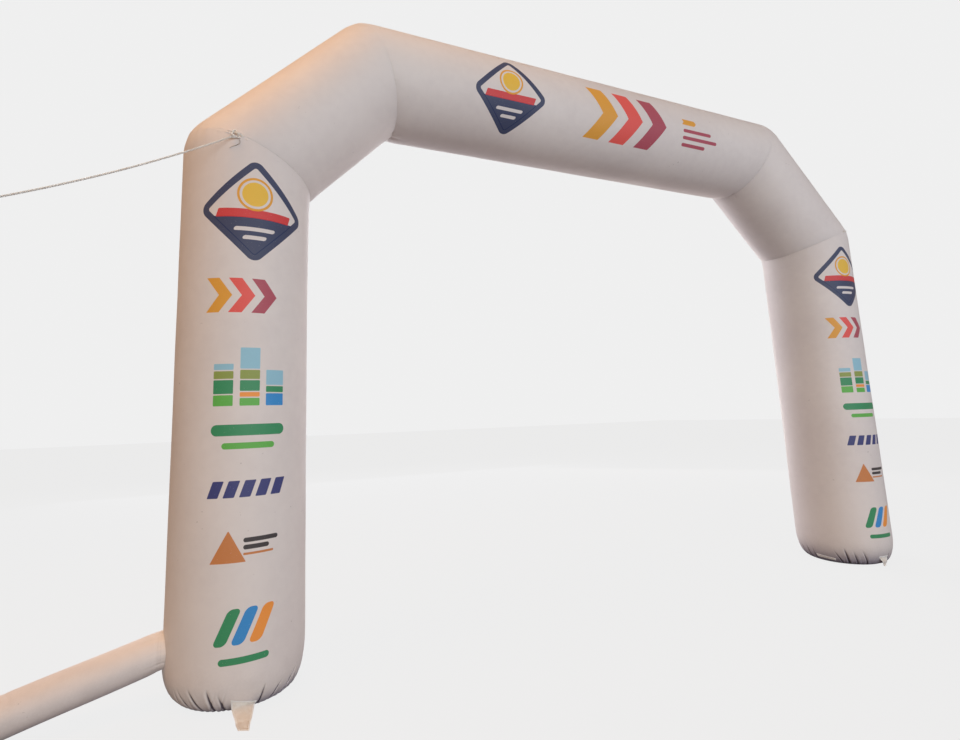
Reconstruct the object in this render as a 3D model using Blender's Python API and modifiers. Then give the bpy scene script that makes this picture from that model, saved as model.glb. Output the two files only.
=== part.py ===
"""Inflatable gateway arch: five mitred tubes of coated cloth, its air duct, ground tabs and guy.

Metres, +Z up. Every piece is modelled about the middle of the gateway, on the ground, and hangs
from one empty that puts the origin under the middle of the whole arch. The front faces -Y.
"""
import random
from collections import namedtuple
from math import asin, atan2, cos, exp, hypot, pi, radians, sin, sqrt

import bmesh
import bpy
from mathutils import Vector

# Tubes
TUBE_R = 0.450              # radius of the inflated tube
LEG_X = 3.243               # leg axis, from the middle of the gateway
BEND_Z = 3.672              # where the leg axis meets the shoulder axis
BEAM_Z = 4.643              # height of the beam axis
BEAM_X = LEG_X - (BEAM_Z - BEND_Z)
HALF_TURN = radians(22.5)   # two tubes meet at 45 degrees, each cut at half of it
TUBE_SIDES = 112
GAP = 0.0003                # left between sewn pieces

# Seams between the tubes
SEAM_STEPS = (0.13, 0.07, 0.03, 0.0)    # rings, as distances from the seam
SEAM_REACH = 0.13           # how far from the seam the tube starts to turn in
SEAM_TUCK = 0.0025          # pinch of the stitching all round
CORNER_TUCK = 0.018         # rounding of the outer corner
SEAM_PUCKERS = 9            # small folds about the outer corner of each seam
LOW_SHIFT = (0.024, 0.024)  # the inflated seam bows towards the top: at the inner corner, at the sides
HIGH_SHIFT = (0.018, 0.022)
CROTCH_SWELL = 0.014        # bulge of a leg at the inner corner under its shoulder
CROTCH_REACH = 0.90         # how far down the leg that bulge runs out
CROTCH_STEPS = (0.90, 0.50, 0.25)
Seam = namedtuple("Seam", "corner first second shift swell folds")

# Bottom of a leg
PANEL_T = 0.003             # round ground panel that closes the tube
PANEL_EDGE = 0.003          # how far the panel stands out past the drawn-in tube
FOOT_Z = PANEL_T + GAP
# how far the tube is drawn in to its panel and over what height, each as the mean, what the
# outer side adds, and what the front adds
Foot = namedtuple("Foot", "side drawn_in rise")
LEFT_FOOT = Foot(-1, (0.116, 0.029, -0.009), (0.262, -0.034, -0.055))
RIGHT_FOOT = Foot(1, (0.115, 0.0, 0.0), (0.270, 0.0, 0.0))
FOOT_STEPS = (0, 8, 18, 30, 43, 57, 73, 90)  # rings round the turn, in degrees
CREASES = 34                # gathers round the bottom of a leg, before those left out
# angle round the leg at the ground, lean with height, depth, half width and top of the gathers at
# the front: degrees, degrees a metre, metres, degrees, metres
LEFT_CREASES = (
    (38.5, -15, 0.007, 2.6, 0.15), (50.3, -64, 0.008, 2.6, 0.16), (61.5, -60, 0.012, 2.8, 0.17),
    (71.8, -29, 0.012, 3.0, 0.17), (81.2, -43, 0.007, 2.4, 0.14), (107.6, 30, 0.008, 2.6, 0.15),
    (117.3, 89, 0.007, 2.6, 0.13), (129.0, 121, 0.010, 3.0, 0.16))
RIGHT_CREASES = (
    (116.6, 62, 0.008, 2.6, 0.17), (130.7, 46, 0.007, 2.6, 0.16), (142.1, 34, 0.012, 3.0, 0.18),
    (150.3, 69, 0.008, 2.6, 0.15), (189.5, 0, 0.006, 2.4, 0.15), (199.5, 0, 0.007, 2.6, 0.16))
# no other gathers within these angles: the place round the leg, and the reach to both sides
LEFT_BARE = ((85, 56), (0, 14))
RIGHT_BARE = ((95, 10), (157, 50))

# Ground tabs
TAB_T = 0.003
TAB_SIDES = 7               # points across a tab
FLOOR_TAB_Z = TAB_T / 2
SEWN_GAP = 0.0005           # between a tab and the round it is sewn to

# Air duct, from the left leg out to the blower
DUCT_R = 0.118
DUCT_SIDES = 40
DUCT_Y = -0.055             # where it leaves the leg
DUCT_Z = 0.317
DUCT_LAND_X = -4.56         # where it comes to lie on the ground
DUCT_LAND_Y = -0.135
DUCT_REST_Z = 0.1155        # its middle there, lower than its radius: a flat strip bears on the ground
DUCT_END_X = -4.76
CUFF_LENGTH = 0.14
CUFF_WALL = 0.003
HEM_WALL = 0.006
HEM_LENGTH = 0.030

# Guy straps and the guy
STRAP_ANGLE = 78.0          # round the seam from its outer side, towards the front
STRAP_OFF = 0.0012          # its sewn ends stand this far off the seam
STRAP_SPAN = 0.056
STRAP_FOOT = 0.010
STRAP_RISE = 0.018
STRAP_WIDTH = 0.014
STRAP_T = 0.003
ROPE_R = 0.005
TAIL_R = 0.0028
ROPE_SAG = 0.034
ROPE_END = Vector((-4.512, -0.873, 2.9255))   # just before the eye, about the gateway
EYE_LENGTH = 0.075
EYE_WIDTH = 0.040

# The origin is under the middle of the arch and its duct
MOUTH_X = DUCT_END_X - GAP - CUFF_LENGTH
TAB_REACH_Y = -0.6303       # tip of the left front tab
GATEWAY = Vector((-(MOUTH_X + LEG_X + TUBE_R) / 2, -(TAB_REACH_Y + TUBE_R) / 2, 0))

CLOTH = ("coated_cloth", (0.78, 0.74, 0.71), 0.42)
PANEL = ("ground_panel_cloth", (0.45, 0.44, 0.47), 0.6)
TAB = ("tab_cloth", (0.80, 0.74, 0.66), 0.55)
WEBBING = ("strap_webbing", (0.85, 0.80, 0.72), 0.75)
ROPE = ("guy_rope", (0.84, 0.79, 0.70), 0.8)

UP = Vector((0, 0, 1))
FRONT = Vector((0, -1, 0))


def clear_scene():
    for old in list(bpy.data.objects):
        bpy.data.objects.remove(old, do_unlink=True)


def new_collection(name):
    collection = bpy.data.collections.new(name)
    bpy.context.scene.collection.children.link(collection)
    return collection


def finish_material(spec):
    name, colour, roughness = spec
    material = bpy.data.materials.get(name)
    if material is None:
        material = bpy.data.materials.new(name)
        material.use_nodes = True
        shader = material.node_tree.nodes["Principled BSDF"]
        shader.inputs["Base Color"].default_value = (*colour, 1)
        shader.inputs["Roughness"].default_value = roughness
        shader.inputs["Metallic"].default_value = 0
    return material


def add_piece(name, mesh, spec):
    """Put a mesh in the arch's collection, as one smooth-shaded piece about the gateway."""
    piece = bpy.data.objects.new(name, mesh)
    mesh.materials.clear()
    mesh.materials.append(finish_material(spec))
    mesh.shade_smooth()
    mesh.set_sharp_from_angle(angle=radians(40))
    arch.objects.link(piece)
    piece.parent = gateway
    return piece


def loft(name, rings, spec, flat=False):
    """Skin a list of rings with equal numbers of points, and close both ends.

    An end is closed about its middle, or, where the piece is flat, from its outer to its inner side.
    """
    bm = bmesh.new()
    loops = [[bm.verts.new(point) for point in ring] for ring in rings]
    count = len(loops[0])
    for lower, upper in zip(loops, loops[1:]):
        for i in range(count):
            j = (i + 1) % count
            bm.faces.new((lower[i], lower[j], upper[j], upper[i]))
    for end in (loops[0], loops[-1]):
        if flat:
            for i in range(count // 2 - 1):
                bm.faces.new((end[i], end[i + 1], end[-i - 2], end[-i - 1]))
        else:
            middle = bm.verts.new(sum((vert.co for vert in end), Vector()) / count)
            for i in range(count):
                bm.faces.new((end[i], end[(i + 1) % count], middle))
    bmesh.ops.recalc_face_normals(bm, faces=bm.faces)
    mesh = bpy.data.meshes.new(name)
    bm.to_mesh(mesh)
    bm.free()
    return add_piece(name, mesh, spec)


def bell(distance, width):
    return exp(-(distance / width) ** 2)


def turn_between(a, b):
    """Smallest angle between two directions round a tube."""
    return abs((a - b + pi) % (2 * pi) - pi)


# ---------------------------------------------------------------- tubes

def seam_puckers(seed):
    """Small folds about the outer side of a seam: angle, depth, half width."""
    draw = random.Random(seed)
    folds = []
    for number in range(SEAM_PUCKERS):
        angle = radians(-72 + 144 * (number + 0.5) / SEAM_PUCKERS + draw.uniform(-5, 5))
        folds.append((angle, draw.uniform(0.002, 0.005), radians(draw.uniform(3.5, 6))))
    return folds


def seam_normal(seam):
    return (seam.first + seam.second).normalized()


def seam_point(seam, angle):
    """A point of a seam: on the mitre's ellipse, pinched and puckered, and bowed off its plane."""
    outward = (seam.first - seam.second).normalized()
    inner = max(0.0, -cos(angle)) ** 2
    radius = TUBE_R - SEAM_TUCK - CORNER_TUCK * max(0.0, cos(angle)) ** 2 + seam.swell * inner
    for at, depth, width in seam.folds:
        radius -= depth * bell(turn_between(angle, at), width)
    corner_shift, side_shift = seam.shift
    shift = corner_shift * (1 - cos(angle)) / 2 + side_shift * sin(angle) ** 2
    flat = outward * (radius * cos(angle) / cos(HALF_TURN)) + FRONT * (radius * sin(angle))
    return seam.corner + flat + seam_normal(seam) * shift


def seam_rings(seam, along, outward, steps, swell_reach):
    """Rings of a tube at the given distances from its seam; along points at the seam."""
    normal = seam_normal(seam)
    trim = normal * (GAP / 2 if along.dot(normal) > 0 else -GAP / 2)
    rings = [[] for step in steps]
    for i in range(TUBE_SIDES):
        even = 2 * pi * i / TUBE_SIDES
        end = seam_point(seam, even) - trim - seam.corner
        turned = (atan2(end.dot(FRONT), end.dot(outward)) - even + pi) % (2 * pi) - pi
        swell = seam.swell * max(0.0, -cos(even)) ** 2
        pinch = hypot(end.dot(FRONT), end.dot(outward)) - TUBE_R - swell
        for ring, step in zip(rings, steps):
            fade = max(0.0, 1 - step / SEAM_REACH) ** 2
            angle = even + turned * fade
            radius = TUBE_R + swell * max(0.0, 1 - step / swell_reach) + pinch * fade
            side = (outward * cos(angle) + FRONT * sin(angle)) * radius
            ring.append(seam.corner + along * (end.dot(along) - step) + side)
    return rings


def foot_place(foot, angle, turn):
    """Radius and height of the drawn-in bottom of a leg: angle round the leg, turn up its round."""
    drawn_in, rise = (mean + outer * cos(angle) + front * sin(angle)
                      for mean, outer, front in (foot.drawn_in, foot.rise))
    return TUBE_R - drawn_in * (1 - sin(turn)), FOOT_Z + rise * (1 - cos(turn))


def foot_creases(seed, front, bare):
    """Gathers round the bottom of a leg: those of its front, and drawn ones everywhere else."""
    draw = random.Random(seed)
    folds = [(radians(at), radians(lean), depth, radians(width), top)
             for at, lean, depth, width, top in front]
    for number in range(CREASES):
        angle = 2 * pi * (number + draw.uniform(-0.3, 0.3)) / CREASES
        depth = draw.uniform(0.004, 0.012)
        fold = (angle, 0.0, depth, radians(draw.uniform(2.4, 3.6)), draw.uniform(0.07, 0.17))
        if all(turn_between(angle, radians(at)) > radians(reach) for at, reach in bare):
            folds.append(fold)
    return folds


def leg(name, foot, creases, seam):
    """A leg, from its gathered bottom up to the mitred seam with the shoulder."""
    start = Vector((foot.side * LEG_X, 0, 0))
    outward = Vector((foot.side, 0, 0))
    rings = []
    for degrees in FOOT_STEPS:
        ring = []
        for i in range(TUBE_SIDES):
            angle = 2 * pi * i / TUBE_SIDES
            radius, height = foot_place(foot, angle, radians(degrees))
            for at, lean, depth, width, top in creases:
                off = turn_between(angle, at + lean * height)
                radius -= depth * bell(off, width) * max(0.0, 1 - height / top)
            side = (outward * cos(angle) + FRONT * sin(angle)) * radius
            ring.append(start + side + UP * height)
        rings.append(ring)
    rings += seam_rings(seam, UP, outward, CROTCH_STEPS + SEAM_STEPS, CROTCH_REACH)
    return loft(name, rings, CLOTH)


def span(name, first, last):
    """A tube between two seams."""
    along = (last.corner - first.corner).normalized()
    outward = Vector((-along.z, 0, along.x))
    back = seam_rings(first, -along, outward, SEAM_STEPS, SEAM_REACH)
    ahead = seam_rings(last, along, outward, SEAM_STEPS, SEAM_REACH)
    return loft(name, back[::-1] + ahead, CLOTH)


def ground_panel(name, foot):
    """The round panel that closes the bottom of a leg and stands on the ground."""
    drawn_in, outer, front = foot.drawn_in
    bpy.ops.mesh.primitive_cylinder_add(vertices=56, radius=TUBE_R - drawn_in + PANEL_EDGE, depth=PANEL_T)
    disc = bpy.context.object
    mesh = disc.data
    bpy.data.objects.remove(disc)
    piece = add_piece(name, mesh, PANEL)
    piece.location = (foot.side * (LEG_X - outer), front, PANEL_T / 2)
    return piece


# ---------------------------------------------------------------- ground tabs

def tab(name, foot, at, skew, sewn, hanging=(), lean=0, askew=0):
    """A flat tab sewn to the bottom of a leg, and run down to the ground where it has hanging rows.

    at is the angle round the leg, skew how much higher its left edge is sewn, both in degrees. Each
    row of sewn is a turn up the leg's round and half the tab's width there. Each row of hanging is
    the distance from the leg's axis, the height, half the width, and how far the tab still follows
    the leg's round (1) or is flat (0). lean is how far the tip stands to the right, and askew how
    much further out its right corner lies than its middle.
    """
    angle = radians(at)
    centre = Vector((foot.side * LEG_X, 0, 0))
    ahead = Vector((foot.side * cos(angle), -sin(angle), 0))
    across = Vector((-ahead.y, ahead.x, 0))
    lines = []
    for turn, half in sewn:
        lines.append([sewn_place(foot, angle, radians(turn - skew * offset / half), offset)
                      for offset in tab_offsets(half)])
    for i, (distance, height, half, follow) in enumerate(hanging, 1):
        share = i / len(hanging)
        line = []
        for offset in tab_offsets(half):
            out = distance + follow * (sqrt(distance ** 2 - offset ** 2) - distance)
            line.append((out + askew * share * offset / half, offset + lean * share, height))
        lines.append(line)
    rings = []
    for i, line in enumerate(lines):
        before = lines[max(i - 1, 0)]
        after = lines[min(i + 1, len(lines) - 1)]
        ring = []
        for turn in (1, -1):
            for k in range(TAB_SIDES)[::turn]:
                slope = Vector((after[k][0] - before[k][0], after[k][2] - before[k][2])).normalized()
                out, offset, height = line[k]
                out -= turn * slope.y * TAB_T / 2
                height += turn * slope.x * TAB_T / 2
                ring.append(centre + ahead * out + across * offset + UP * height)
        rings.append(ring)
    return loft(name, rings, TAB, flat=True)


def tab_offsets(half):
    return [half * (2 * k / (TAB_SIDES - 1) - 1) for k in range(TAB_SIDES)]


def sewn_place(foot, angle, turn, offset):
    """A point of a tab's middle layer that lies against the leg: out, sideways and up."""
    here = angle - foot.side * asin(offset / TUBE_R)
    radius, height = foot_place(foot, here, turn)
    above = foot_place(foot, here, turn + 0.02)
    normal = Vector((above[1] - height, radius - above[0])).normalized()
    clear = TAB_T / 2 + SEWN_GAP
    radius += normal.x * clear
    return (sqrt(radius ** 2 - offset ** 2), offset, height + normal.y * clear)


def ground_tabs():
    """The tabs in front of both legs, and the band of a folded one on the right leg's inner side."""
    tab("left_front_tab", LEFT_FOOT, 95.4, 9.4, ((47, 0.078), (41, 0.075)), (
        (0.4320, 0.0400, 0.0660, 0.7), (0.4900, 0.0140, 0.0510, 0.3), (0.5270, 0.0034, 0.0420, 0),
        (0.5500, FLOOR_TAB_Z, 0.0384, 0), (0.6185, FLOOR_TAB_Z, 0.0282, 0)), lean=-0.0243, askew=0.015)
    tab("right_front_tab", RIGHT_FOOT, 94.5, 0, ((51, 0.064), (45, 0.058)), (
        (0.4245, 0.0500, 0.038, 0.6), (0.4190, 0.0200, 0.024, 0.2), (0.4185, 0.0070, 0.016, 0),
        (0.4215, 0.0026, 0.012, 0), (0.4265, FLOOR_TAB_Z, 0.011, 0), (0.4340, FLOOR_TAB_Z, 0.008, 0)))
    tab("right_inner_tab", RIGHT_FOOT, 173.7, 2.8, (
        (40.5, 0.0926), (37, 0.0926), (34, 0.0920), (31, 0.0900)))


# ---------------------------------------------------------------- air duct

def duct_axis(x):
    """The duct's middle: down in a straight line from the leg, then along the ground."""
    wall = -LEG_X - TUBE_R
    share = (x - wall) / (DUCT_LAND_X - wall)
    height = max(DUCT_REST_Z, DUCT_Z + (DUCT_REST_Z - DUCT_Z) * share)
    return Vector((x, DUCT_Y + (DUCT_LAND_Y - DUCT_Y) * share, height))


def inlet_duct():
    """The filled duct: seated round the leg's side, drawn in there, and flat on the ground."""
    wall = -LEG_X - TUBE_R
    draw = random.Random(5)
    folds = [(radians(200 + 22 * i + draw.uniform(-6, 6)), draw.uniform(0.003, 0.008)) for i in range(7)]
    rings = []
    for share in (0.0, 0.5, 1.0):                     # the end that faces the leg is a hollow saddle
        rings.append([duct_seat(2 * pi * i / DUCT_SIDES, share, folds) for i in range(DUCT_SIDES)])
    for x in (wall - 0.03, wall - 0.08, wall - 0.16, -4.15, -4.45, DUCT_LAND_X, DUCT_END_X):
        ring = []
        middle = duct_axis(x)
        for i in range(DUCT_SIDES):
            angle = 2 * pi * i / DUCT_SIDES
            radius = duct_radius(angle, wall - x, folds)
            point = middle + Vector((0, cos(angle), sin(angle))) * radius
            point.z = max(point.z, 0.0)
            ring.append(point)
        rings.append(ring)
    return loft("inlet_duct", rings, CLOTH)


def duct_radius(angle, distance, folds):
    """Radius of the duct, drawn in and gathered below where it is sewn to the leg."""
    radius = DUCT_R - 0.004 * bell(distance, 0.03)
    for at, depth in folds:
        radius -= depth * bell(turn_between(angle, at), radians(7)) * max(0.0, 1 - distance / 0.11)
    return radius


def duct_seat(angle, share, folds):
    """A point of the duct's leg end: on the leg at its rim, and a little off it inside."""
    radius = max(share, 0.02) * duct_radius(angle, 0, folds)
    y = DUCT_Y + radius * cos(angle)
    z = DUCT_Z + radius * sin(angle)
    clear = 0.0005 if share == 1 else 0.004
    return Vector((-LEG_X - sqrt((TUBE_R + clear) ** 2 - y * y), y, z))


def duct_cuff():
    """The open hemmed sleeve at the duct's far end, as a profile turned about its axis."""
    outer = DUCT_R
    corner = 0.0015
    profile = (
        (outer, 0), (outer, CUFF_LENGTH - HEM_LENGTH), (outer + 0.0018, CUFF_LENGTH - HEM_LENGTH + 0.002),
        (outer + 0.0018, CUFF_LENGTH - corner), (outer + 0.0018 - corner, CUFF_LENGTH),
        (outer + 0.0018 - HEM_WALL + corner, CUFF_LENGTH), (outer + 0.0018 - HEM_WALL, CUFF_LENGTH - corner),
        (outer + 0.0018 - HEM_WALL, CUFF_LENGTH - HEM_LENGTH + 0.002),
        (outer - CUFF_WALL, CUFF_LENGTH - HEM_LENGTH), (outer - CUFF_WALL, 0))
    mesh = bpy.data.meshes.new("duct_cuff")
    count = len(profile)
    mesh.from_pydata([(r, 0, h) for r, h in profile], [(i, (i + 1) % count) for i in range(count)], [])
    cuff = add_piece("duct_cuff", mesh, CLOTH)
    turned = cuff.modifiers.new("turned", "SCREW")
    turned.steps = 48
    turned.render_steps = 48
    turned.use_merge_vertices = True
    turned.merge_threshold = 0.00005
    turned.use_normal_calculate = True
    middle = duct_axis(DUCT_END_X - GAP)
    cuff.location = (middle.x, middle.y, DUCT_R + 0.002)
    cuff.rotation_euler = (0, -pi / 2, 0)
    return cuff


# ---------------------------------------------------------------- guy straps and guy

def strap_frame(side, seam):
    """Middle of a guy strap on the seam, with the seam's, the up and the outward directions."""
    angle = radians(STRAP_ANGLE)
    step = 0.5 * STRAP_SPAN / TUBE_R
    outward = Vector((side * cos(angle), -sin(angle), 0))
    along = (seam_point(seam, angle + step) - seam_point(seam, angle - step)).normalized()
    up = (UP - along * along.z).normalized()
    return seam_point(seam, angle), along, up, outward


def guy_strap(name, side, seam):
    """A webbing loop sewn down at both ends along the seam, standing off it in the middle."""
    along, up, outward = strap_frame(side, seam)[1:]
    half = STRAP_SPAN / 2
    profile = [(-half - STRAP_FOOT, 0.0), (-half, 0.0)]
    for i in range(1, 10):
        t = i / 10
        profile.append((-half + STRAP_SPAN * t, STRAP_RISE * sin(pi * t) ** 0.6))
    profile += [(half, 0.0), (half + STRAP_FOOT, 0.0)]
    rings = []
    for i, (s, rise) in enumerate(profile):
        before = profile[max(i - 1, 0)]
        after = profile[min(i + 1, len(profile) - 1)]
        slope = Vector((after[0] - before[0], after[1] - before[1])).normalized()
        base = seam_point(seam, radians(STRAP_ANGLE) + s / TUBE_R)
        base += outward * (rise + STRAP_T / 2 + STRAP_OFF)
        face = (along * -slope.y + outward * slope.x) * (STRAP_T / 2)
        edge = up * (STRAP_WIDTH / 2)
        rings.append([base + face + edge, base + face - edge, base - face - edge, base - face + edge])
    return loft(name, rings, WEBBING)


def smooth_route(points, count):
    """Points evenly along a smooth curve through a few route points."""
    places = [Vector(p) for p in points]
    places = [places[0] * 2 - places[1]] + places + [places[-1] * 2 - places[-2]]
    dense = []
    for a, b, c, d in zip(places, places[1:], places[2:], places[3:]):
        for k in range(24):
            t = k / 24
            dense.append(0.5 * (2 * b + (c - a) * t + (2 * a - 5 * b + 4 * c - d) * t ** 2
                                + (3 * b - a - 3 * c + d) * t ** 3))
    dense.append(places[-2])
    walked = [0.0]
    for a, b in zip(dense, dense[1:]):
        walked.append(walked[-1] + (b - a).length)
    route = []
    i = 0
    for k in range(count):
        target = walked[-1] * k / (count - 1)
        while i < len(walked) - 2 and walked[i + 1] < target:
            i += 1
        share = (target - walked[i]) / (walked[i + 1] - walked[i])
        route.append(dense[i].lerp(dense[i + 1], min(share, 1)))
    return route


def tube_curve(name, route, radius):
    curve = bpy.data.curves.new(name, "CURVE")
    curve.dimensions = "3D"
    spline = curve.splines.new("POLY")
    spline.points.add(len(route) - 1)
    for point, place in zip(spline.points, route):
        point.co = (*place, 1)
    curve.bevel_depth = radius
    curve.bevel_resolution = 2
    curve.use_fill_caps = True
    return curve


def cord(name, route, radius, spec):
    """A plain round cord along a route."""
    curve = tube_curve(name, route, radius)
    curve.materials.append(finish_material(spec))
    piece = bpy.data.objects.new(name, curve)
    arch.objects.link(piece)
    piece.parent = gateway
    return piece


def cord_mesh(name, route, radius):
    """The closed mesh of a cord, for joining to other shapes."""
    guide = bpy.data.objects.new(name, tube_curve(name, route, radius))
    bpy.context.scene.collection.objects.link(guide)
    depsgraph = bpy.context.evaluated_depsgraph_get()
    mesh = bpy.data.meshes.new_from_object(guide.evaluated_get(depsgraph))
    bm = bmesh.new()
    bm.from_mesh(mesh)
    bmesh.ops.remove_doubles(bm, verts=bm.verts, dist=0.00005)
    bmesh.ops.recalc_face_normals(bm, faces=bm.faces)
    bm.to_mesh(mesh)
    bm.free()
    bpy.data.objects.remove(guide)
    return mesh


def joined_piece(name, body, added, spec):
    """A piece made of two overlapping closed meshes, joined into one body."""
    piece = add_piece(name, body, spec)
    tool = bpy.data.objects.new(name + "_joined", added)
    cutters.objects.link(tool)
    tool.parent = gateway
    tool.hide_render = True
    tool.display_type = "WIRE"
    union = piece.modifiers.new("joined", "BOOLEAN")
    union.operation = "UNION"
    union.solver = "EXACT"
    union.object = tool
    return piece


def knot_lump(name, centre, along, size):
    """The body of a tied knot: a stubby rounded lump across the rope."""
    bm = bmesh.new()
    bmesh.ops.create_uvsphere(bm, u_segments=12, v_segments=8, radius=1)
    turn = UP.rotation_difference(along)
    for vert in bm.verts:
        place = Vector((vert.co.x * size[0], vert.co.y * size[1], vert.co.z * size[2]))
        vert.co = centre + turn @ place
    mesh = bpy.data.meshes.new(name)
    bm.to_mesh(mesh)
    bm.free()
    return mesh


def guy(seam):
    """The guy tied through the left strap, drawn taut, with its knot, free end and outer eye."""
    middle, along, up, outward = strap_frame(-1, seam)

    def at(s, t, n):
        return middle + along * s + up * t + outward * n

    knot = at(-0.0146, -0.0367, 0.024)
    pull = (ROPE_END - knot).normalized()
    bight = smooth_route((
        knot, at(-0.026, -0.024, 0.0215), at(-0.031, -0.010, 0.0165), at(-0.0315, 0.003, 0.0137),
        at(-0.027, 0.0135, 0.0125), at(-0.018, 0.0155, 0.0115), at(-0.009, 0.0115, 0.0108),
        at(-0.001, 0.004, 0.0105), at(0.007, -0.005, 0.0105), at(0.014, -0.0125, 0.0107),
        at(0.0235, -0.020, 0.0130), at(0.024, -0.0275, 0.0175), at(0.010, -0.031, 0.0215),
        at(-0.004, -0.0345, 0.0235), at(-0.010, -0.036, 0.024)), 36)
    lump = knot_lump("guy_knot", knot, pull, (0.011, 0.012, 0.013))
    joined_piece("guy_knot", lump, cord_mesh("guy_bight", bight, ROPE_R), ROPE)

    start = knot + pull * (0.013 + GAP)
    steps = 15
    route = []
    for i in range(steps):
        share = i / (steps - 1)
        route.append(start.lerp(ROPE_END, share) - UP * ROPE_SAG * 4 * share * (1 - share))
    cord("guy_rope", route, ROPE_R, ROPE)

    tail = smooth_route((
        at(0.031, -0.035, 0.012), at(0.0352, -0.0455, 0.009), at(0.0387, -0.0602, 0.008),
        at(0.030, -0.0783, 0.008), at(0.0136, -0.0908, 0.008), at(-0.0011, -0.1074, 0.008),
        at(-0.0088, -0.1203, 0.008)), 18)
    cord("guy_tail", tail, TAIL_R, ROPE)

    side = pull.cross(UP).normalized()
    ring = []
    for i in range(25):
        turn = 2 * pi * i / 24
        ring.append(ROPE_END + pull * (0.014 + EYE_LENGTH * (1 - cos(turn)) / 2)
                    + side.cross(pull) * (EYE_WIDTH / 2) * sin(turn) * sin(turn / 2) ** 0.5)
    lump = knot_lump("guy_eye", ROPE_END + pull * (0.012 + GAP), pull, (0.009, 0.009, 0.012))
    joined_piece("guy_eye", lump, cord_mesh("guy_eye_ring", ring[1:-1], ROPE_R), ROPE)


clear_scene()
arch = new_collection("inflatable_arch")
cutters = new_collection("joining_shapes")
gateway = bpy.data.objects.new("gateway_middle", None)
gateway.location = GATEWAY
arch.objects.link(gateway)

seams = {}
for side, low_seed, high_seed in ((-1, 11, 12), (1, 14, 13)):
    slant = Vector((-side, 0, 1)).normalized()
    seams[side, "low"] = Seam(Vector((side * LEG_X, 0, BEND_Z)), UP, slant, LOW_SHIFT, CROTCH_SWELL,
                              seam_puckers(low_seed))
    seams[side, "high"] = Seam(Vector((side * BEAM_X, 0, BEAM_Z)), slant, Vector((-side, 0, 0)),
                               HIGH_SHIFT, 0, seam_puckers(high_seed))
leg("left_leg", LEFT_FOOT, foot_creases(21, LEFT_CREASES, LEFT_BARE), seams[-1, "low"])
leg("right_leg", RIGHT_FOOT, foot_creases(22, RIGHT_CREASES, RIGHT_BARE), seams[1, "low"])
span("left_shoulder", seams[-1, "low"], seams[-1, "high"])
span("beam", seams[-1, "high"], seams[1, "high"])
span("right_shoulder", seams[1, "high"], seams[1, "low"])
ground_panel("left_ground_panel", LEFT_FOOT)
ground_panel("right_ground_panel", RIGHT_FOOT)
ground_tabs()
inlet_duct()
duct_cuff()
guy_strap("left_guy_strap", -1, seams[-1, "low"])
guy_strap("right_guy_strap", 1, seams[1, "low"])
guy(seams[-1, "low"])
bpy.context.view_layer.update()
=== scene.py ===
"""Looks of the inflatable gateway arch: its cloth and prints, seams, duct, ground tabs, straps and guy.

Metres, +Z up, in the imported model's frame; angles round a tube start at its outer side and go by the
front. Each cloth piece is skinned anew on the surface of its solid, finer and with its small folds.
"""
import random
from collections import namedtuple
from math import cos, pi, radians, sin

import bmesh
import bpy
import numpy as np
from mathutils import Matrix, Vector


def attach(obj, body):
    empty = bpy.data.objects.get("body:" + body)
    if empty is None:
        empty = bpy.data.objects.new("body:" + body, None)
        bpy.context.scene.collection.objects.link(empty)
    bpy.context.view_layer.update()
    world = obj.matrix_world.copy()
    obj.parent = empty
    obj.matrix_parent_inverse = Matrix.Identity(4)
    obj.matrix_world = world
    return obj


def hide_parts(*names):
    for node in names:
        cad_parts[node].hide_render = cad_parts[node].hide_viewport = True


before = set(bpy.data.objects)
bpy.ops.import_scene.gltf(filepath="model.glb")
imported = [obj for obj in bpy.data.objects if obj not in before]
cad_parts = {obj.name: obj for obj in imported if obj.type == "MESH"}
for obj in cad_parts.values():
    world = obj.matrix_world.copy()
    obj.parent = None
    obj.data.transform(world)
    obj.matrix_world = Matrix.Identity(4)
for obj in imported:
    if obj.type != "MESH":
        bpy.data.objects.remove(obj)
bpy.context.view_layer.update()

# Sizes that the solids share
GATEWAY = np.array((0.60365, 0.09015, 0.0))      # the gateway's middle, on the ground
TUBE_R = 0.450
LEG_X = 3.243
BEND_Z = 3.672
BEAM_Z = 4.643
BEAM_X = LEG_X - (BEAM_Z - BEND_Z)
HALF_TURN = radians(22.5)
GAP = 0.0003

SEAM_REACH = 0.13
SEAM_TUCK = 0.0025
CORNER_TUCK = 0.018
SEAM_PUCKERS = 9
LOW_SHIFT = (0.024, 0.024)
HIGH_SHIFT = (0.018, 0.022)
CROTCH_SWELL = 0.014
CROTCH_REACH = 0.90
Seam = namedtuple("Seam", "corner first second shift swell folds gathers pulls")

FOOT_Z = 0.0033
Foot = namedtuple("Foot", "side drawn_in rise")
LEFT_FOOT = Foot(-1, (0.116, 0.029, -0.009), (0.262, -0.034, -0.055))
RIGHT_FOOT = Foot(1, (0.115, 0.0, 0.0), (0.270, 0.0, 0.0))
CREASES = 34
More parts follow.
